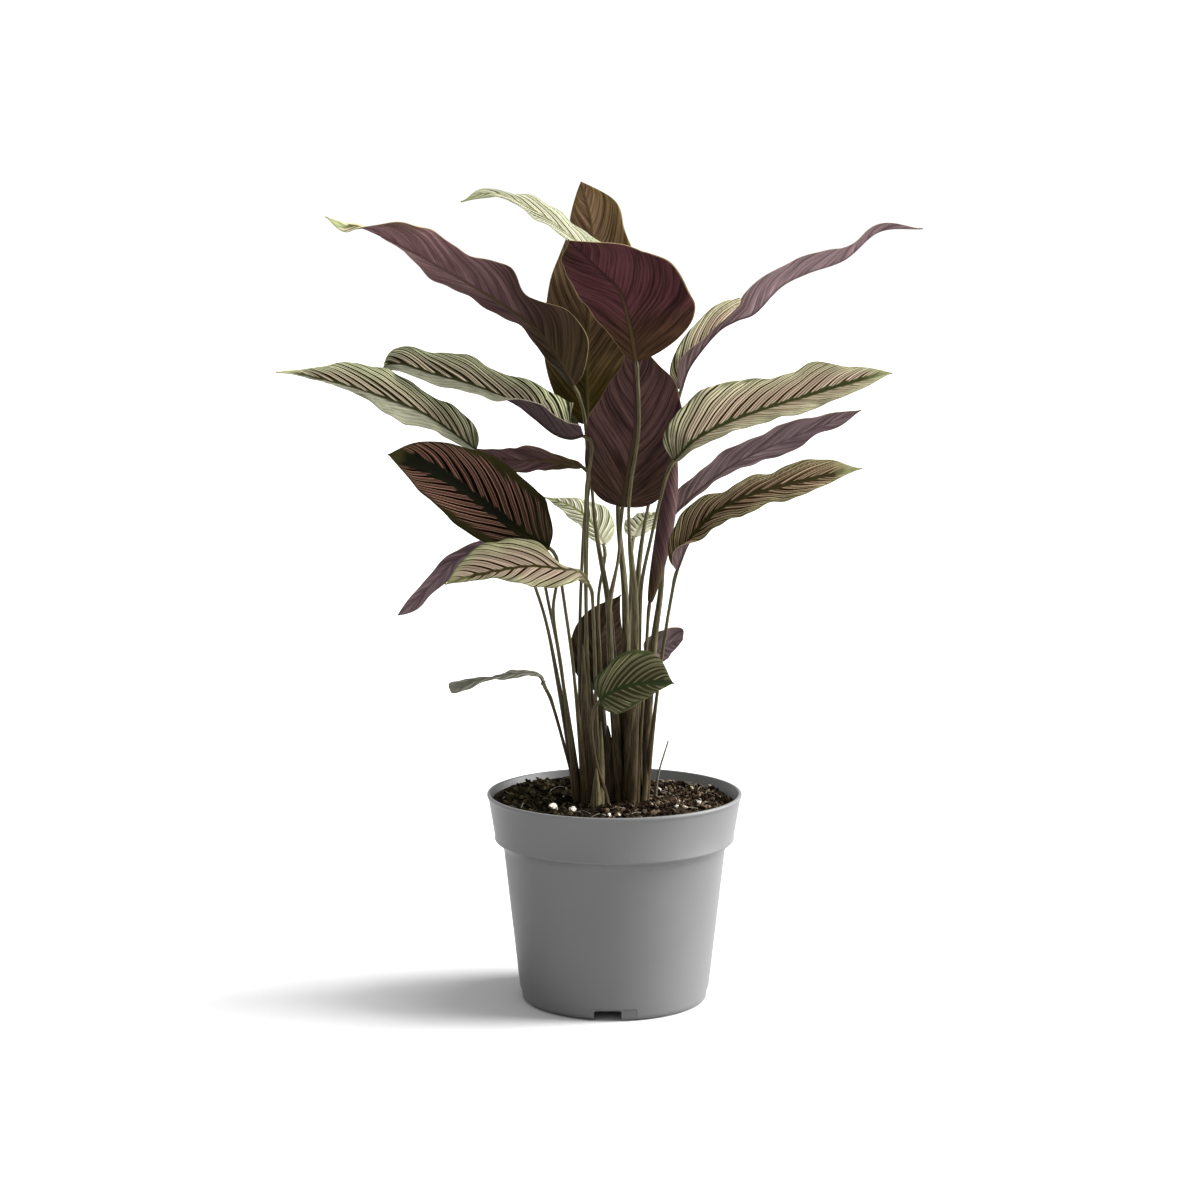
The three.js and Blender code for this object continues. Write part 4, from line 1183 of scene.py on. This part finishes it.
def soil_height(x, y):
    """Height of the soil's surface: a low mound round the stalks and loose lumps."""
    rng = np.random.default_rng(SEED)
    radius = np.hypot(x, y)
    inside = np.clip((SOIL_EDGE - radius) / 6, 0, 1)
    lumps = sum(height * value_noise(rng, x, y, cell) for height, cell in ((2, 11), (1.5, 5), (0.8, 2.3)))
    mound = 3 * np.exp(-radius**2 / 1800)
    bank = 3.5 * np.clip((radius - 55) / 30, 0, 1) * np.clip(0.5 - x / 60, 0, 1)
    return SOIL_Z - 0.5 + 0.4 * lumps + bank + inside * (1.1 * lumps + mound)


def on_soil(x, y):
    """The point of the soil's surface at a place."""
    return np.array([x, y, soil_height(np.array([x]), np.array([y]))[0]])


def make_soil():
    """A lumpy surface over a body that fills the pot down to its floor."""
    inset = WALL + GAP
    body = [(BASE_RADIUS - inset, FLOOR_Z + FLOOR_THICKNESS + GAP), (BODY_TOP_RADIUS - inset, BODY_TOP_Z),
            (BAND_BOTTOM_RADIUS - inset, BAND_BOTTOM_Z + 1)]
    radii = SOIL_EDGE * np.linspace(1, 0, SOIL_RINGS, endpoint=False) ** 0.8
    flat = (radii[:, None, None] * circle(SOIL_SEGMENTS)).reshape(-1, 2)
    top = np.column_stack([flat, soil_height(flat[:, 0], flat[:, 1])])
    hubs = [[0, 0, body[0][1]], on_soil(0, 0)]
    faces = closed_faces(len(body) + SOIL_RINGS, SOIL_SEGMENTS)
    points = np.vstack([*level_rings(body, SOIL_SEGMENTS), top, hubs])
    soil = new_piece("soil_body", points, faces, [soil_material()])
    finish_piece(soil, "soil", "soil")


def stone(rng, size):
    """A small rough lump: four uneven rings of six corners."""
    points = []
    count = 6
    for z, radius in ((-1, 0.5), (-0.4, 1.0), (0.6, 0.9), (1, 0.4)):
        for k in range(count):
            angle = FULL_TURN * (k + rng.uniform(-0.3, 0.3)) / count
            r = radius * rng.uniform(0.6, 1.25)
            points.append((r * math.cos(angle), r * math.sin(angle), z * rng.uniform(0.8, 1.1)))
    return np.array(points) * np.array(size) / 2, tube_faces(4, count)


def random_turn(rng, tilt):
    """A random turn about the upright axis after a tilt of up to so many radians."""
    a, b, c = rng.uniform(-tilt, tilt), rng.uniform(-tilt, tilt), rng.uniform(0, FULL_TURN)
    return turn_matrix(2, c) @ turn_matrix(0, a) @ turn_matrix(1, b)


def drawn(*ranges):
    """A way to draw a lump's length, width and height, each from its range."""
    return lambda rng: [rng.uniform(low, high) for low, high in ranges]


def scatter(name, rng, spots, size_of, tilt, sink, material):
    """Lumps of random size and turn at each spot, resting in the soil, as one piece."""
    points, faces = [], []
    for x, y in spots:
        size = size_of(rng)
        body, body_faces = stone(rng, size)
        body = body @ random_turn(rng, tilt).T
        faces += [[len(points) * len(body) + k for k in face] for face in body_faces]
        points.append(body + on_soil(x, y) + np.array([0, 0, size[2] * sink]))
    piece = new_piece(name, np.vstack(points), faces, [material], smooth=False)
    finish_piece(piece, "soil")


def random_spots(rng, count):
    """Spots spread over the soil, away from the pot's wall."""
    radius = np.sqrt(rng.uniform(0, (SOIL_EDGE - 5) ** 2, count))
    angle = rng.uniform(0, FULL_TURN, count)
    return list(zip(radius * np.cos(angle), radius * np.sin(angle)))


# Perlite and white stones that show in the photo: where they lie and how wide they are
PERLITE_SPOTS = [
    (-45, -39, 8), (-31, -35, 7), (-4, -54, 4.5), (3, -50, 3), (7, 20, 5), (6, 26, 4), (62, -22, 4),
    (71, -4, 4), (45, -40, 3.5), (34, 30, 4),
]


def make_mulch():
    """Bark chips, perlite and dry fibres that lie on the soil."""
    rng = np.random.default_rng(SEED)
    bark = drawn((3, 10), (2, 5), (1.2, 3.4))
    scatter("soil_bark", rng, random_spots(rng, BARK_COUNT), bark, 1.0, 0.3, bark_material())
    crumb = drawn((1.2, 3.8), (1.2, 3.2), (1, 3))
    scatter("soil_crumbs", rng, random_spots(rng, CRUMB_COUNT), crumb, 1.5, 0.4, soil_material())
    chip = drawn((1.4, 5), (1, 3), (0.8, 2.2))
    sunny = [(x, y) for x, y in random_spots(rng, CHIP_COUNT) if rng.uniform(-70, 150) < x]
    scatter("soil_chips", rng, sunny, chip, 1.2, 0.5, chip_material())
    widths = iter([width for x, y, width in PERLITE_SPOTS])

    def bead(rng):
        return np.array([1, 0.8, 0.7]) * (next(widths, None) or rng.uniform(1.5, 2.8))

    spots = [(x, y) for x, y, width in PERLITE_SPOTS] + random_spots(rng, 14)
    scatter("soil_perlite", rng, spots, bead, 0.6, 0.5, perlite_material())
    make_fibres(rng)


def make_fibres(rng):
    """Thin dry fibres that arch over the soil's surface."""
    bundle = Bundle()
    for x, y in random_spots(rng, FIBRE_COUNT):
        heading, length = rng.uniform(0, FULL_TURN), rng.uniform(5, 14)
        half = length / 2 * np.array([math.cos(heading), math.sin(heading), 0])
        middle = on_soil(x, y)
        bend = np.array([0, 0, rng.uniform(0.8, 2.5)])
        path = Path([middle - half, middle + bend, middle + half + rng.uniform(-1, 1, 3)])
        bundle.add(path, 7, 4, lambda share, angle: np.full(4, FIBRE_RADIUS))
    reach = np.hypot(bundle.points[:, 0], bundle.points[:, 1])
    bundle.points[:, :2] *= np.minimum(1, (SOIL_EDGE - 1) / reach)[:, None]
    bundle.make("soil_fibres", dry_material(), "soil")


# A pale floor, a tall narrow light at the right in parts of some elevation and strength, and a room
# that is brightest at eye level. Angles in degrees.
FLOOR_ALBEDO = 0.45
FLOOR_REACH = 60000
KEY_AZIMUTH = 4
KEY_PARTS = [(20, 7.0), (44, 4.6), (66, 4.0)]
KEY_WIDTH = 34
HORIZON_LIGHT = 1.05
OVERHEAD_LIGHT = 0.95

# Camera of the photo, in metres and degrees, worked out from the ellipses of the pot's rim and foot
CAMERA_PLACE = (-0.0108, -1.872, 0.540)
CAMERA_PITCH = 7.3
FOCAL_PIXELS = 2553
PHOTO_PIXELS = 1200


def add_item(name, data, place, *turn):
    """A light or camera in the scene, at a place in metres and turned by angles in degrees."""
    item = bpy.data.objects.new(name, data)
    item.location = place
    item.rotation_euler = [math.radians(angle) for angle in turn]
    bpy.context.scene.collection.objects.link(item)
    return item


def make_floor():
    corners = [(x * FLOOR_REACH, y * FLOOR_REACH, 0) for x, y in ((-1, -1), (1, -1), (1, 1), (-1, 1))]
    floor = new_piece("floor", corners, [[0, 1, 2, 3]], [floor_material()])


def make_room():
    world = bpy.data.worlds.new("studio")
    world.use_nodes = True
    room = Nodes(world.node_tree)
    height = room.parts(room.node("TexCoord", "Generated"))[2]
    low, high = (math.sin(math.radians(angle)) for angle in (8, 35))
    background = world.node_tree.nodes["Background"].inputs
    room.put(background["Color"], (1, 1, 1, 1))
    room.put(background["Strength"], height.step(low, high, HORIZON_LIGHT, OVERHEAD_LIGHT))
    bpy.context.scene.world = world


def make_lights():
    for elevation, strength in KEY_PARTS:
        key = bpy.data.lights.new("key", "SUN")
        key.angle = math.radians(KEY_WIDTH)
        key.energy = strength
        add_item("key", key, (0, 0, 0), 0, 90 - elevation, KEY_AZIMUTH)


def make_camera():
    camera = bpy.data.cameras.new("photo")
    camera.sensor_width = 36
    camera.lens = camera.sensor_width * FOCAL_PIXELS / PHOTO_PIXELS
    bpy.context.scene.camera = add_item("photo", camera, CAMERA_PLACE, 90 - CAMERA_PITCH, 0, 0)


make_floor()
make_room()
make_lights()
make_camera()
bpy.context.scene.view_settings.view_transform = "Standard"
for seed, leaf in enumerate(LEAVES):
    make_blade(leaf, seed)
for clump in ("left", "right", "back", "front"):
    make_stalks(clump)
make_shoots()
make_rolled_leaf()
make_dry_stalk()
make_pot()
make_soil()
make_mulch()
